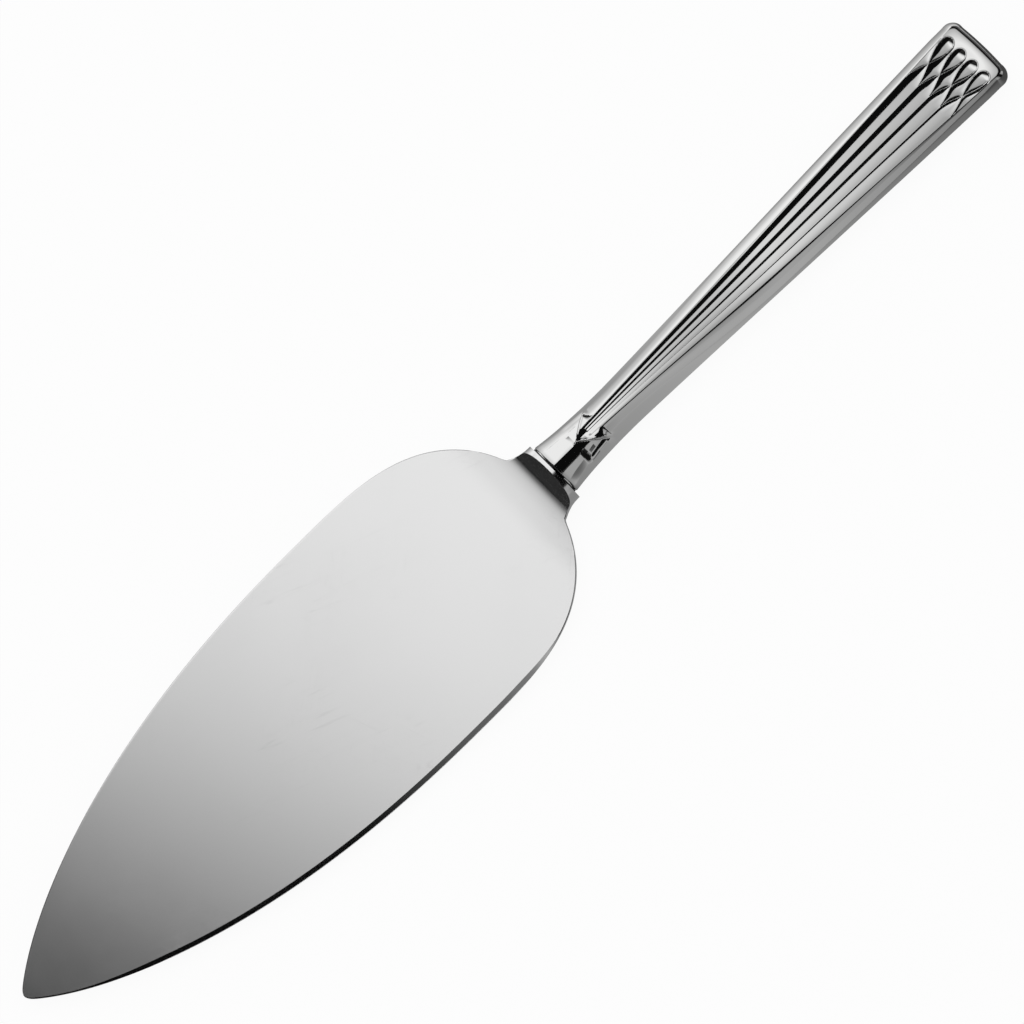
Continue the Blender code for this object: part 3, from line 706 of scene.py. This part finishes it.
def shell_face(rows, thread_height, thread_width):
    """Places (u, y, z) of a half shell's outer face, from the -Y seam to the +Y seam, and how dark it is:
    patina at the threads' feet, painted shade at the mouth.

    The bevels are superellipses from the outline to the panel's rim: round
    on the neck, rounder still on the leaf, and nearly flat from the shank on.
    The end is bulged by a parabola across. The raised threads and the leaf's
    scoops go out or in along the surface's own normal. At the mouth the
    section shrinks a little, as a quarter circle along the handle.
    """
    u = rows[:, None]
    half = handle_half_width(u)
    full_half = handle_half_width(np.minimum(u, BUTT_PLACE - BUTT_CORNER_RADIUS))
    panel = rim_half_width(u)
    turn = np.linspace(0.0, 1.0, SLOPE_COLUMNS + 1)
    slope_shares = between(turn, 1.0 - np.cos(turn * np.pi / 2), SLOPE_CROWDING)[None, :]
    slope_y = half - (half - panel) * slope_shares
    panel_shares = np.linspace(-1.0, 1.0, FLUTE_COUNT * COLUMNS_PER_FLUTE + 1)[None, 1:-1]
    y = np.concatenate([-slope_y, panel * panel_shares, slope_y[:, ::-1]], axis=1)
    across = np.clip(y / panel, -1.0, 1.0)
    u = u + 0 * y

    faceted = ease((u - ROUND_NECK_LENGTH) / FACET_RUN)
    power = between(MOUTH_ROUNDNESS_POWER, NECK_ROUNDNESS_POWER, ease(u / NECK_RUN))
    power = between(power, SHANK_ROUNDNESS_POWER, faceted)
    power = between(power, BUTT_ROUNDNESS_POWER, ease(u / THINNEST_PLACE))
    rise, end_share = rise_share(u, y, full_half, panel)
    plain = rim_height(u) * round_ramp(rise, between(power, END_ROUNDNESS_POWER, end_share))
    on_panel = np.abs(y) <= panel * ON_PANEL_SPARE
    leaf = rim_height(u) * round_ramp(rise, LEAF_ROUNDNESS_POWER)
    plain = between(plain, leaf, (1.0 - ease(beyond_leaf(u, y) / LEAF_FLANK)) * (1.0 - faceted))
    z = plain - np.where(on_panel, panel_drop(u, across), 0.0)
    to_end = ease((u - ARCH_ROUND) / (BUTT_PLACE - ARCH_ROUND))
    bulge = BUTT_END_BULGE * to_end * (1.0 - (2.0 * y / BUTT_WIDTH) ** 2)

    distance = arch_lines(u, across)[0]
    threaded = ease((u - THREAD_START) / THREAD_FADE)
    arch = bump(distance, thread_width / 2) * threaded * on_panel * (u < PANEL_END_PLACE)
    leaf_thread = bump(beyond_leaf(u, y), LEAF_THREAD_WIDTH / 2) * ease((u - LEAF_START) / LEAF_OPENING)
    leaf_thread = leaf_thread * (1.0 - ease((u - LEAF_FADE_START) / LEAF_FADE))
    relief = thread_height * arch + LEAF_THREAD_HEIGHT * leaf_thread - scoop(u, y)

    places = np.stack([u + bulge, y, z], axis=-1)
    normal = np.cross(np.gradient(places, axis=0), np.gradient(places, axis=1))
    normal = normal / np.maximum(np.linalg.norm(normal, axis=-1, keepdims=True), LEAST_LENGTH)
    normal = normal * np.where(normal[..., 2:] < 0.0, -1.0, 1.0)
    places = places + normal * relief[..., None]
    from_mouth = np.clip(1.0 - u / MOUTH_ROUNDING, 0.0, 1.0)
    rounding = MOUTH_ROUNDING * (1.0 - np.sqrt(1.0 - from_mouth ** 2))
    places[..., 1] *= 1.0 - rounding / (MOUTH_WIDTH / 2)
    places[..., 2] = np.maximum(places[..., 2], 0.0) * (1.0 - rounding / MOUTH_RIM_HEIGHT)
    # the threads' feet get patina; the first mm at the mouth gets painted shade where the handle meets the
    # bolster, in the same darker and duller tone
    foot = bump(distance - thread_width / 2, thread_width / 2)
    patina_and_mouth_shade = foot * threaded * on_panel * (1.0 - arch)
    patina_and_mouth_shade = np.maximum(patina_and_mouth_shade, MOUTH_SHADE * (1.0 - ease(u / MOUTH_SHADE_LENGTH)))
    return places[..., 0], places[..., 1], places[..., 2], patina_and_mouth_shade


def shell_inside(rows):
    """Places (u, y, z) of a half shell's inner face: half a superellipse across, closed round at the butt."""
    turn = np.linspace(0.0, np.pi, INNER_COLUMNS + 1)[None, :]
    u = rows[:, None]
    half = handle_half_width(np.minimum(u, INNER_END_PLACE - BUTT_CORNER_RADIUS)) - SHELL_WALL
    closing = np.sqrt(np.clip((INNER_END_PLACE - u) / BUTT_CORNER_RADIUS, 0.0, 1.0))
    height = rim_height(u) - panel_size(u) * (PANEL_HOLLOW + FLUTE_DEPTH) - SHELL_WALL
    across = -np.cos(turn)
    power = between(HOLLOW_NECK_POWER, 2.0, ease(u / THINNEST_PLACE))
    z = round_ramp(1.0 - np.abs(across), power) * height * closing
    return u + 0 * z, across * (half - BUTT_CORNER_RADIUS * (1.0 - closing)), z


def shell_surface(side, thread_height, thread_width):
    """One half of the handle as a closed surface; side is 1 for the front and -1 for the back."""
    end = np.linspace(0.0, 1.0, END_ROWS)
    rows = np.concatenate([
        MOUTH_ROUNDING * (1.0 - np.cos(np.linspace(0.0, np.pi / 2, MOUTH_ROWS))),
        np.linspace(MOUTH_ROUNDING, NECK_ROWS_END, NECK_ROWS + 1)[1:-1],
        np.linspace(NECK_ROWS_END, ARCH_ROWS_START, SHANK_ROWS, endpoint=False),
        np.linspace(ARCH_ROWS_START, PANEL_END_PLACE, ARCH_ROWS, endpoint=False),
        between(PANEL_END_PLACE, BUTT_PLACE, between(end, np.sin(end * np.pi / 2), END_ROWS_CROWDING)),
    ])
    u, y, z, patina_and_mouth_shade = shell_face(rows, thread_height, thread_width)
    z = z + SEAT_GAP / 2
    # a short upright rim closes the solids' gap down to a hairline seam
    round_face = ((0, 1), (1, 1))
    u, y = [np.pad(values, round_face, mode="edge") for values in (u, y)]
    z = np.pad(z, round_face, constant_values=SEAM_HAIRLINE)
    patina_and_mouth_shade = np.pad(patina_and_mouth_shade, round_face)
    inner_rows = INNER_END_PLACE * np.sin(np.linspace(0.0, np.pi / 2, INNER_ROWS))
    inner_u, inner_y, inner_z = shell_inside(inner_rows)
    inner_z = inner_z + SEAM_HAIRLINE

    surface = Surface()
    outer = surface.grid(TIP_X + HANDLE_START + u, y, SEAM_Z + side * z, patina_and_mouth_shade)
    inner = surface.grid(TIP_X + HANDLE_START + inner_u, inner_y, SEAM_Z + side * inner_z)
    for column in (0, -1):
        surface.zip(outer[:, column], u[:, column] / u[-1, column],
                    inner[:, column], inner_u[:, column] / inner_u[-1, column])
    for row in (0, -1):
        turn = 1.0 - np.arctan2(z[row], y[row]) / np.pi
        inner_turn = np.linspace(0.0, 1.0, INNER_COLUMNS + 1)
        if row == -1:
            turn = (y[row] - y[row, 0]) / (y[row, -1] - y[row, 0])
        surface.zip(outer[row], turn, inner[row], inner_turn)
    return surface


class Nodes:
    """A short way to add shader nodes to a material or a world."""

    def __init__(self, owner):
        owner.use_nodes = True
        self.tree = owner.node_tree
        self.tree.nodes.clear()

    def add(self, kind, inputs=None, **properties):
        """Adds a node; an input's value that is a socket is linked, and any other is set."""
        node = self.tree.nodes.new(kind)
        for name, value in properties.items():
            setattr(node, name, value)
        for name, value in (inputs or {}).items():
            if isinstance(value, bpy.types.NodeSocket):
                self.tree.links.new(value, node.inputs[name])
            else:
                node.inputs[name].default_value = value
        return node

    def math(self, operation, first, second=0.0):
        """The result of a sum, product or the like."""
        return self.add("ShaderNodeMath", {0: first, 1: second}, operation=operation).outputs[0]

    def place(self):
        """Object coordinates."""
        return self.add("ShaderNodeTexCoord").outputs["Object"]

    def split_place(self):
        """Object coordinates, one by one."""
        return self.add("ShaderNodeSeparateXYZ", {0: self.place()}).outputs

    def rays(self):
        """Whether a ray comes from the camera, and whether it comes off metal or through glass."""
        ray = self.add("ShaderNodeLightPath").outputs
        mirrored = self.math("MAXIMUM", ray["Is Glossy Ray"], ray["Is Transmission Ray"])
        return ray["Is Camera Ray"], mirrored

    def ramp(self, value, low, high, first=0.0, last=1.0):
        """Takes a value from between low and high to between first and last, smoothly."""
        inputs = {"Value": value, "From Min": low, "From Max": high, "To Min": first, "To Max": last}
        return self.add("ShaderNodeMapRange", inputs, interpolation_type="SMOOTHSTEP").outputs[0]

    def stretched(self, turn, scale):
        """Object coordinates turned by an angle about Z, then stretched."""
        turned = self.add("ShaderNodeMapping", {"Vector": self.place(), "Rotation": (0.0, 0.0, turn)})
        return self.add("ShaderNodeMapping", {"Vector": turned.outputs[0], "Scale": scale}).outputs[0]

    def steps(self, value, stops):
        """A value drawn straight between stops of (place, value)."""
        (first, first_tone), (last, last_tone) = stops[0], stops[-1]
        share = self.add("ShaderNodeMapRange", {"Value": value, "From Min": first, "From Max": last})
        ramp = self.add("ShaderNodeValToRGB", {"Fac": share.outputs[0]})
        elements = ramp.color_ramp.elements
        elements[0].color = opaque([first_tone] * 3)
        elements[1].color = opaque([last_tone] * 3)
        for place_at, tone in stops[1:-1]:
            elements.new((place_at - first) / (last - first)).color = opaque([tone] * 3)
        return ramp.outputs["Color"]

    def noise(self, vector, scale, detail=2.0, roughness=0.5):
        """Cloudy noise from 0 to 1."""
        inputs = {"Vector": vector, "Scale": scale, "Detail": detail, "Roughness": roughness}
        return self.add("ShaderNodeTexNoise", inputs).outputs["Fac"]

    def blend(self, share, first, last):
        """Mixes two colours."""
        inputs = {"Factor": share, 6: first, 7: last}
        return self.add("ShaderNodeMix", inputs, data_type="RGBA").outputs[2]

    def bumps(self, height, strength, distance):
        """The surface's direction, tilted by a height."""
        inputs = {"Height": height, "Strength": strength, "Distance": distance}
        return self.add("ShaderNodeBump", inputs).outputs[0]

    def glow(self, strength):
        """White light that the surface itself gives off."""
        return self.add("ShaderNodeEmission", {"Color": WHITE, "Strength": strength}).outputs[0]

    def mixed(self, share, first, last):
        """Mixes two shaders."""
        return self.add("ShaderNodeMixShader", {0: share, 1: first, 2: last}).outputs[0]

    def finish(self, shader):
        """Ends a material with this shader."""
        self.add("ShaderNodeOutputMaterial", {"Surface": shader})

    def body(self, colour, roughness, normal, metallic=1.0):
        """Ends a material with a metal, or with a plain body where metallic is 0."""
        inputs = {"Base Color": colour, "Metallic": metallic, "Roughness": roughness, "Normal": normal}
        self.finish(self.add("ShaderNodeBsdfPrincipled", inputs).outputs[0])


def opaque(colour):
    """A colour's three numbers with a full fourth one."""
    return (*colour, 1.0)


def new_material(name):
    """An empty material and its nodes."""
    material = bpy.data.materials.new(name)
    return material, Nodes(material)


def steel_material(settings):
    """Satin steel: fine grain along the blade, soft cloudy sheen and a few hair scratches.

    A scratch is drawn where a stretched noise passes through HAIR_LEVEL, in
    patches. The spigot is painted near black: painted shade in the gap
    between the bolster and the handle's mouth.
    """
    material, nodes = new_material("satin_steel_finish")
    place = nodes.place()
    clouds = nodes.noise(place, 28.0, 4.0, 0.55)
    grain = nodes.noise(nodes.stretched(0.0, (60.0, 4200.0, 4200.0)), 1.0, 3.0)
    scratches = 0.0
    for turn, length, pitch, width, seed in HAIR_SCRATCHES:
        line = nodes.stretched(turn, (length, pitch, pitch))
        shifted = nodes.add("ShaderNodeMapping", {"Vector": line, "Location": (seed, seed, seed)}).outputs[0]
        off = nodes.math("ABSOLUTE", nodes.math("SUBTRACT", nodes.noise(shifted, 1.0, 0.0), HAIR_LEVEL))
        scratches = nodes.math("MAXIMUM", nodes.ramp(off, 0.0, width, 1.0, 0.0), scratches)
    patches = nodes.ramp(nodes.noise(place, 45.0, 2.0), 0.48, 0.62)
    scratches = nodes.math("MULTIPLY", scratches, patches)
    ground = nodes.add("ShaderNodeAttribute", attribute_name="ground").outputs["Fac"]
    bevel = nodes.math("MAXIMUM", ground, 0.0)
    # ground is -1 on the spigot, which is painted near black as shade in the gap at the handle's mouth
    spigot = nodes.ramp(ground, -0.6, -0.1, 1.0, 0.0)
    satin = settings.steel_roughness
    rough = nodes.ramp(clouds, *NOISE_MIDDLE, satin - STEEL_ROUGHNESS_SWING, satin + STEEL_ROUGHNESS_SWING)
    rough = nodes.math("ADD", rough, nodes.math("MULTIPLY", scratches, SCRATCH_ROUGHNESS))
    rough = nodes.math("SUBTRACT", rough, nodes.math("MULTIPLY", bevel, BEVEL_POLISH))
    height = nodes.math("SUBTRACT", nodes.math("MULTIPLY", grain, GRAIN_SHARE), scratches)
    base = np.array(settings.steel_colour)
    dim, bright = [opaque(base * tone) for tone in (1.0 - STEEL_TONE_SWING, 1.0 + STEEL_TONE_SWING)]
    colour = nodes.blend(spigot, nodes.blend(clouds, dim, bright), opaque(base * SPIGOT_SHADE_TONE))
    nodes.body(colour, rough, nodes.bumps(height, settings.scratch_strength, 0.002 * MM))
    return material


def silver_material(settings):
    """Polished silver: faint wipe marks, a darker and duller patina in the recesses, and painted shade in the
    same tone at the mouth's edge.
    """
    material, nodes = new_material("polished_silver_finish")
    smudges = nodes.noise(nodes.place(), 160.0, 4.0, 0.6)
    wipes = nodes.noise(nodes.stretched(0.2, (240.0, 2600.0, 2600.0)), 1.0, 3.0)
    patina_and_mouth_shade = nodes.add("ShaderNodeAttribute", attribute_name="patina_and_mouth_shade").outputs["Fac"]
    low, high = [settings.silver_roughness * share for share in SILVER_ROUGHNESS_SHARES]
    rough = nodes.ramp(smudges, *NOISE_MIDDLE, low, high)
    rough = nodes.math("ADD", rough, nodes.math("MULTIPLY", patina_and_mouth_shade, RECESS_ROUGHNESS))
    base = np.array(settings.silver_colour)
    colour = nodes.blend(patina_and_mouth_shade, opaque(base), opaque(base * settings.patina_and_mouth_shade_tone))
    nodes.body(colour, rough, nodes.bumps(wipes, 0.12, 0.0006 * MM))
    return material


def solder_material():
    """Silver solder: dull, with a frozen, slightly lumpy skin."""
    material, nodes = new_material("silver_solder_finish")
    place = nodes.place()
    lumps = nodes.noise(place, 900.0, 3.0)
    stains = nodes.noise(place, 220.0, 3.0)
    colour = nodes.blend(stains, (0.55, 0.53, 0.48, 1.0), (0.72, 0.70, 0.64, 1.0))
    rough = nodes.ramp(stains, *NOISE_MIDDLE, 0.3, 0.5)
    nodes.body(colour, rough, nodes.bumps(lumps, 0.4, 0.05 * MM))
    return material


def cement_material():
    """Resin cement: brown, with pale grains of filler and small pits."""
    material, nodes = new_material("brown_cement_finish")
    place = nodes.place()
    grains = nodes.add("ShaderNodeTexVoronoi", {"Vector": place, "Scale": 1400.0}).outputs["Distance"]
    clouds = nodes.noise(place, 180.0, 4.0)
    speck = nodes.math("MULTIPLY", nodes.ramp(grains, 0.1, 0.3, 1.0, 0.0), GRAINS_SHARE)
    tone = nodes.math("ADD", nodes.math("MULTIPLY", clouds, 1.0 - GRAINS_SHARE), speck)
    colour = nodes.blend(tone, (0.22, 0.15, 0.10, 1.0), (0.46, 0.36, 0.27, 1.0))
    rough = nodes.ramp(clouds, *NOISE_MIDDLE, 0.8, 0.95)
    nodes.body(colour, rough, nodes.bumps(grains, 0.5, 0.08 * MM), metallic=0.0)
    return material


def camera_axes():
    """The camera's right, up and backward directions, as columns.

    It looks down on the knife, leans by CAMERA_TILT to the -Y side, and is
    rolled so that the knife runs up to the right by CAMERA_ROLL.
    """
    tilt = np.radians(CAMERA_TILT)
    roll = np.radians(CAMERA_ROLL)
    along = np.array([1.0, 0.0, 0.0])
    aside = np.array([0.0, -np.cos(tilt), -np.sin(tilt)])
    right = np.cos(roll) * along + np.sin(roll) * aside
    up = np.sin(roll) * along - np.cos(roll) * aside
    back = np.array([0.0, -np.sin(tilt), np.cos(tilt)])
    return right, up, back


def add_camera():
    """Long lens that frames VIEW_WIDTH across the picture at the knife."""
    right, up, back = camera_axes()
    data = bpy.data.cameras.new("camera")
    data.sensor_width = SENSOR_WIDTH
    data.lens = SENSOR_WIDTH * CAMERA_DISTANCE / VIEW_WIDTH
    data.clip_start = CAMERA_CLIP_START
    camera = bpy.data.objects.new("camera", data)
    place_at = np.array(CAMERA_AIM) + back * CAMERA_DISTANCE
    rows = np.stack([right, up, back, place_at], axis=1)
    camera.matrix_world = Matrix([*rows.tolist(), [0.0, 0.0, 0.0, 1.0]])
    bpy.context.scene.collection.objects.link(camera)
    bpy.context.scene.camera = camera


def level_corners(reach, first_y, last_y, height):
    """Corners of a level sheet that reaches equally far both ways along X."""
    places = ((-reach, first_y), (reach, first_y), (reach, last_y), (-reach, last_y))
    return [(*place_at, height) for place_at in places]


def upright_corners(first, last, bottom, top):
    """Corners of an upright sheet over the line between two places (x, y)."""
    return [(*first, bottom), (*last, bottom), (*last, top), (*first, top)]


def sheet_object(name, corners, material):
    """A flat four-cornered sheet, as a stage object."""
    mesh = bpy.data.meshes.new(name)
    mesh.from_pydata(corners, [], [(0, 1, 2, 3)])
    mesh.materials.append(material)
    obj = bpy.data.objects.new(name, mesh)
    bpy.context.scene.collection.objects.link(obj)
    return obj


def painted_reflection_material(name, stops, slant, slanted_stops):
    """Glowing tone of painted reflections, which gives off no light on other things.

    It is the product of two tones, each drawn straight between stops of
    (place, tone): one along x, and one along x + slant * y.
    """
    material, nodes = new_material(name)
    split = nodes.split_place()
    slanted = nodes.math("ADD", split["X"], nodes.math("MULTIPLY", split["Y"], slant))
    tone = nodes.math("MULTIPLY", nodes.steps(slanted, slanted_stops), nodes.steps(split["X"], stops))
    nodes.finish(nodes.glow(tone))
    material.cycles.emission_sampling = "NONE"
    return material


def even_stops(tone):
    """Stops of one even tone."""
    return ((-1.0, tone), (1.0, tone))


def add_card(name, corners, stops, slant=0.0, slanted_stops=even_stops(1.0)):
    """A card that only reflections see, glowing in tones that paint reflections into polished metal, in the
    place of a photographer's flag.
    """
    card = sheet_object(name, corners, painted_reflection_material(name, stops, slant, slanted_stops))
    for kind in ("camera", "diffuse", "shadow", "transmission"):
        setattr(card, f"visible_{kind}", False)


def add_floor(settings):
    """Pale floor: near white for the camera, glowing in darker tones of painted reflection for metal, with
    painted shade close to the knife there, and with the knife's shadow.
    """
    material, nodes = new_material("pale_floor")
    camera, mirrored = nodes.rays()
    split = nodes.split_place()
    far = nodes.steps(split["Y"], FAR_FLOOR_STOPS)
    far = nodes.math("MULTIPLY", far, nodes.ramp(split["X"], *FAR_FLOOR_RAMP))
    tone = nodes.math("MAXIMUM", nodes.steps(split["X"], FLOOR_STOPS), far)
    # the floor glows in these tones only for metal: painted reflections, darkest past the tip and close to
    # the knife
    floor_reflection_glow = nodes.glow(nodes.math("MULTIPLY", tone, settings.floor_in_metal))
    matt = nodes.add("ShaderNodeBsdfDiffuse", {"Color": opaque(settings.floor_colour)}).outputs[0]
    unlit = nodes.mixed(mirrored, matt, floor_reflection_glow)
    nodes.finish(nodes.mixed(nodes.math("MULTIPLY", camera, FLOOR_WHITE_SHARE), unlit, nodes.glow(1.0)))
    material.cycles.emission_sampling = "NONE"
    sheet_object("floor", level_corners(FLOOR_REACH, -FLOOR_REACH, FLOOR_REACH, 0.0), material)


def add_world(settings):
    """White for the camera and in metal, and a plain even light for the rest."""
    world = bpy.data.worlds.new("studio")
    bpy.context.scene.world = world
    nodes = Nodes(world)
    shown = nodes.math("MAXIMUM", *nodes.rays())
    soft, white = [nodes.add("ShaderNodeBackground", {"Color": WHITE, "Strength": strength}).outputs[0]
                   for strength in (settings.world_light, 1.0)]
    nodes.add("ShaderNodeOutputWorld", {"Surface": nodes.mixed(shown, soft, white)})


def add_lamp(settings):
    """One broad soft lamp above, which metal doesn't mirror."""
    data = bpy.data.lights.new("soft_lamp", "AREA")
    data.size = LAMP_SIZE
    data.energy = settings.lamp_power
    lamp = bpy.data.objects.new("soft_lamp", data)
    lamp.location = LAMP_PLACE
    lamp.rotation_euler = (-Vector(lamp.location)).to_track_quat("-Z", "Y").to_euler()
    lamp.visible_glossy = False
    bpy.context.scene.collection.objects.link(lamp)


def at_angle(angle, height):
    """Place across a level sheet at this height, seen from the knife at an angle to the -Y side."""
    return -height * np.tan(np.radians(angle))


def add_cards(settings):
    """Cards round the knife, which paint reflections into the metal.

    A level one overhead that darkens past the tip and past the butt, a black
    one under it round the camera, two upright ones at the -Y side, one over
    the other, and an upright one past each end.
    """
    top, below = OVERHEAD_HEIGHT, OVERHEAD_HEIGHT - CAMERA_CARD_DROP
    shift = TIP_SLANT * TIP_SLANT_MIDDLE
    add_card("overhead_card", level_corners(OVERHEAD_REACH, -OVERHEAD_REACH, OVERHEAD_REACH, top), BUTT_STOPS,
             TIP_SLANT, [(place_at + shift, tone) for place_at, tone in TIP_STOPS])
    near, far = [at_angle(angle, below) for angle in CAMERA_CARD_ANGLES]
    corners = level_corners(CARD_REACH, far, near, below)
    add_card("camera_card", corners, even_stops(settings.camera_card_tone))
    for name, bottom, side_top, stops in SIDE_CARDS:
        corners = upright_corners((-CARD_REACH, SIDE_CARD_Y), (CARD_REACH, SIDE_CARD_Y), bottom, side_top)
        add_card(name, corners, stops)
    for name, x, tone in (("tip_card", TIP_CARD_X, settings.tip_card_tone),
                          ("butt_card", BUTT_CARD_X, settings.butt_card_tone)):
        corners = upright_corners((x, -CARD_REACH), (x, CARD_REACH), 0.0, top)
        add_card(name, corners, even_stops(tone))


def share_setting(name, description, low, high, default):
    """A setting that is a plain share or strength."""
    return FloatProperty(
        name=name, description=description, subtype="FACTOR", min=low, max=high, default=default)


def colour_setting(name, description, default):
    """A setting that is a colour."""
    return FloatVectorProperty(
        name=name, description=description, subtype="COLOR", size=3, min=0.0, max=1.0, default=default)


class PieKnifeBlade(PropertyGroup):
    """Finish of the blade."""

    steel_colour: colour_setting("Steel colour", "Colour of the blade's steel", (0.84, 0.84, 0.84))
    steel_roughness: share_setting("Satin", "Roughness of the satin finish", 0.05, 0.8, 0.15)
    scratch_strength: share_setting("Scratches", "Strength of the grain and the scratches", 0.0, 1.0, 0.25)


class PieKnifeHandle(PropertyGroup):
    """Ornament and finish of the handle."""

    thread_height: FloatProperty(
        name="Thread height", description="How far the arches' fine threads stand up", unit="LENGTH",
        min=0.0, max=0.3 * MM, default=0.05 * MM)
    thread_width: FloatProperty(
        name="Thread width", description="Width of the arches' fine threads", unit="LENGTH",
        min=0.1 * MM, max=1.0 * MM, default=0.26 * MM)
    silver_colour: colour_setting("Silver colour", "Colour of the handle's metal", (0.82, 0.82, 0.815))
    silver_roughness: share_setting("Polish", "Roughness of the polished handle", 0.01, 0.5, 0.06)
    # how dark the patina and the painted shade at the mouth are
    patina_and_mouth_shade_tone: share_setting("Recess tone", "Brightness of the ornament's recesses", 0.0, 1.0, 0.6)


class PieKnifeStage(PropertyGroup):
    """Floor, light and cards round the knife."""

    floor_colour: colour_setting("Floor colour", "Colour of the plain floor", (0.9, 0.9, 0.9))
    # brightness of the floor's painted reflections in the metal
    floor_in_metal: share_setting("Floor in metal", "Brightness of the floor in metal", 0.0, 1.0, 1.0)
    world_light: share_setting("World light", "Strength of the even light from all round", 0.0, 2.0, 0.5)
    lamp_power: FloatProperty(
        name="Lamp power", description="Power of the broad lamp above, in watts",
        min=0.0, max=100.0, default=6.0)
    camera_card_tone: share_setting("Camera card", "Tone of the card round the camera", 0.0, 1.0, 0.004)
    tip_card_tone: share_setting("Tip card", "Tone of the upright card past the tip", 0.0, 1.0, 0.03)
    butt_card_tone: share_setting("Butt card", "Tone of the upright card past the butt", 0.0, 1.0, 0.09)


class PIEKNIFE_OT_blade(Operator):
    """Blade, bolster and tang in satin steel"""

    bl_idname = "pie_knife.blade"
    bl_label = "Blade"

    def execute(self, context):
        settings = context.scene.pie_knife_blade
        piece = blade_surface().build("blade_satin", "ground")
        place(piece, "blade", "satin_steel", steel_material(settings))
        return {"FINISHED"}


class PIEKNIFE_OT_handle(Operator):
    """Both half shells of the handle in polished silver, with the fluting, the arches and the leaf"""

    bl_idname = "pie_knife.handle"
    bl_label = "Handle shells"

    def execute(self, context):
        settings = context.scene.pie_knife_handle
        material = silver_material(settings)
        for name, side in (("front", 1), ("back", -1)):
            surface = shell_surface(side, settings.thread_height, settings.thread_width)
            piece = surface.build(f"handle_{name}_ornament", "patina_and_mouth_shade")
            place(piece, f"handle_{name}_shell", "polished_silver", material)
        return {"FINISHED"}


class PIEKNIFE_OT_filling(Operator):
    """Finishes of the solder and the cement inside the handle, whose solids stay as they are"""

    bl_idname = "pie_knife.filling"
    bl_label = "Solder and cement"

    def execute(self, context):
        for node, material in (("solder_line", solder_material()), ("handle_filler", cement_material())):
            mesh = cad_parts[node].data
            mesh.materials.clear()
            mesh.materials.append(material)
        return {"FINISHED"}


class PIEKNIFE_OT_stage(Operator):
    """Camera, floor, soft light and cards"""

    bl_idname = "pie_knife.stage"
    bl_label = "Stage"

    def execute(self, context):
        settings = context.scene.pie_knife_stage
        add_camera()
        add_floor(settings)
        add_world(settings)
        add_lamp(settings)
        add_cards(settings)
        context.scene.view_settings.view_transform = "Standard"
        return {"FINISHED"}


class PIEKNIFE_PT_panel(Panel):
    """Sizes, colours and steps of the pie knife"""

    bl_label = "Pie Knife"
    bl_idname = "PIEKNIFE_PT_panel"
    bl_space_type = "VIEW_3D"
    bl_region_type = "UI"
    bl_category = "Pie Knife"

    def draw(self, context):
        for group_name, _, operators in STEPS:
            group = getattr(context.scene, group_name)
            box = self.layout.box()
            for name in group.__annotations__:
                box.prop(group, name)
            for operator in operators:
                box.operator(operator)


# each group of settings on the scene, its class and the operators that use it
STEPS = (
    ("pie_knife_blade", PieKnifeBlade, ("pie_knife.blade",)),
    ("pie_knife_handle", PieKnifeHandle, ("pie_knife.handle", "pie_knife.filling")),
    ("pie_knife_stage", PieKnifeStage, ("pie_knife.stage",)),
)
CLASSES = (
    PieKnifeBlade, PieKnifeHandle, PieKnifeStage,
    PIEKNIFE_OT_blade, PIEKNIFE_OT_handle, PIEKNIFE_OT_filling, PIEKNIFE_OT_stage, PIEKNIFE_PT_panel,
)


def register():
    """Registers the classes and hangs the settings on the scene."""
    for cls in CLASSES:
        bpy.utils.register_class(cls)
    for name, group, _ in STEPS:
        setattr(bpy.types.Scene, name, PointerProperty(type=group))


def unregister():
    """Takes the settings and the classes away again."""
    for name, _, _ in STEPS:
        delattr(bpy.types.Scene, name)
    for cls in reversed(CLASSES):
        bpy.utils.unregister_class(cls)


def main():
    """Builds the knife and its stage."""
    register()
    bpy.ops.pie_knife.blade()
    bpy.ops.pie_knife.handle()
    bpy.ops.pie_knife.filling()
    bpy.ops.pie_knife.stage()


if __name__ == "__main__":
    main()
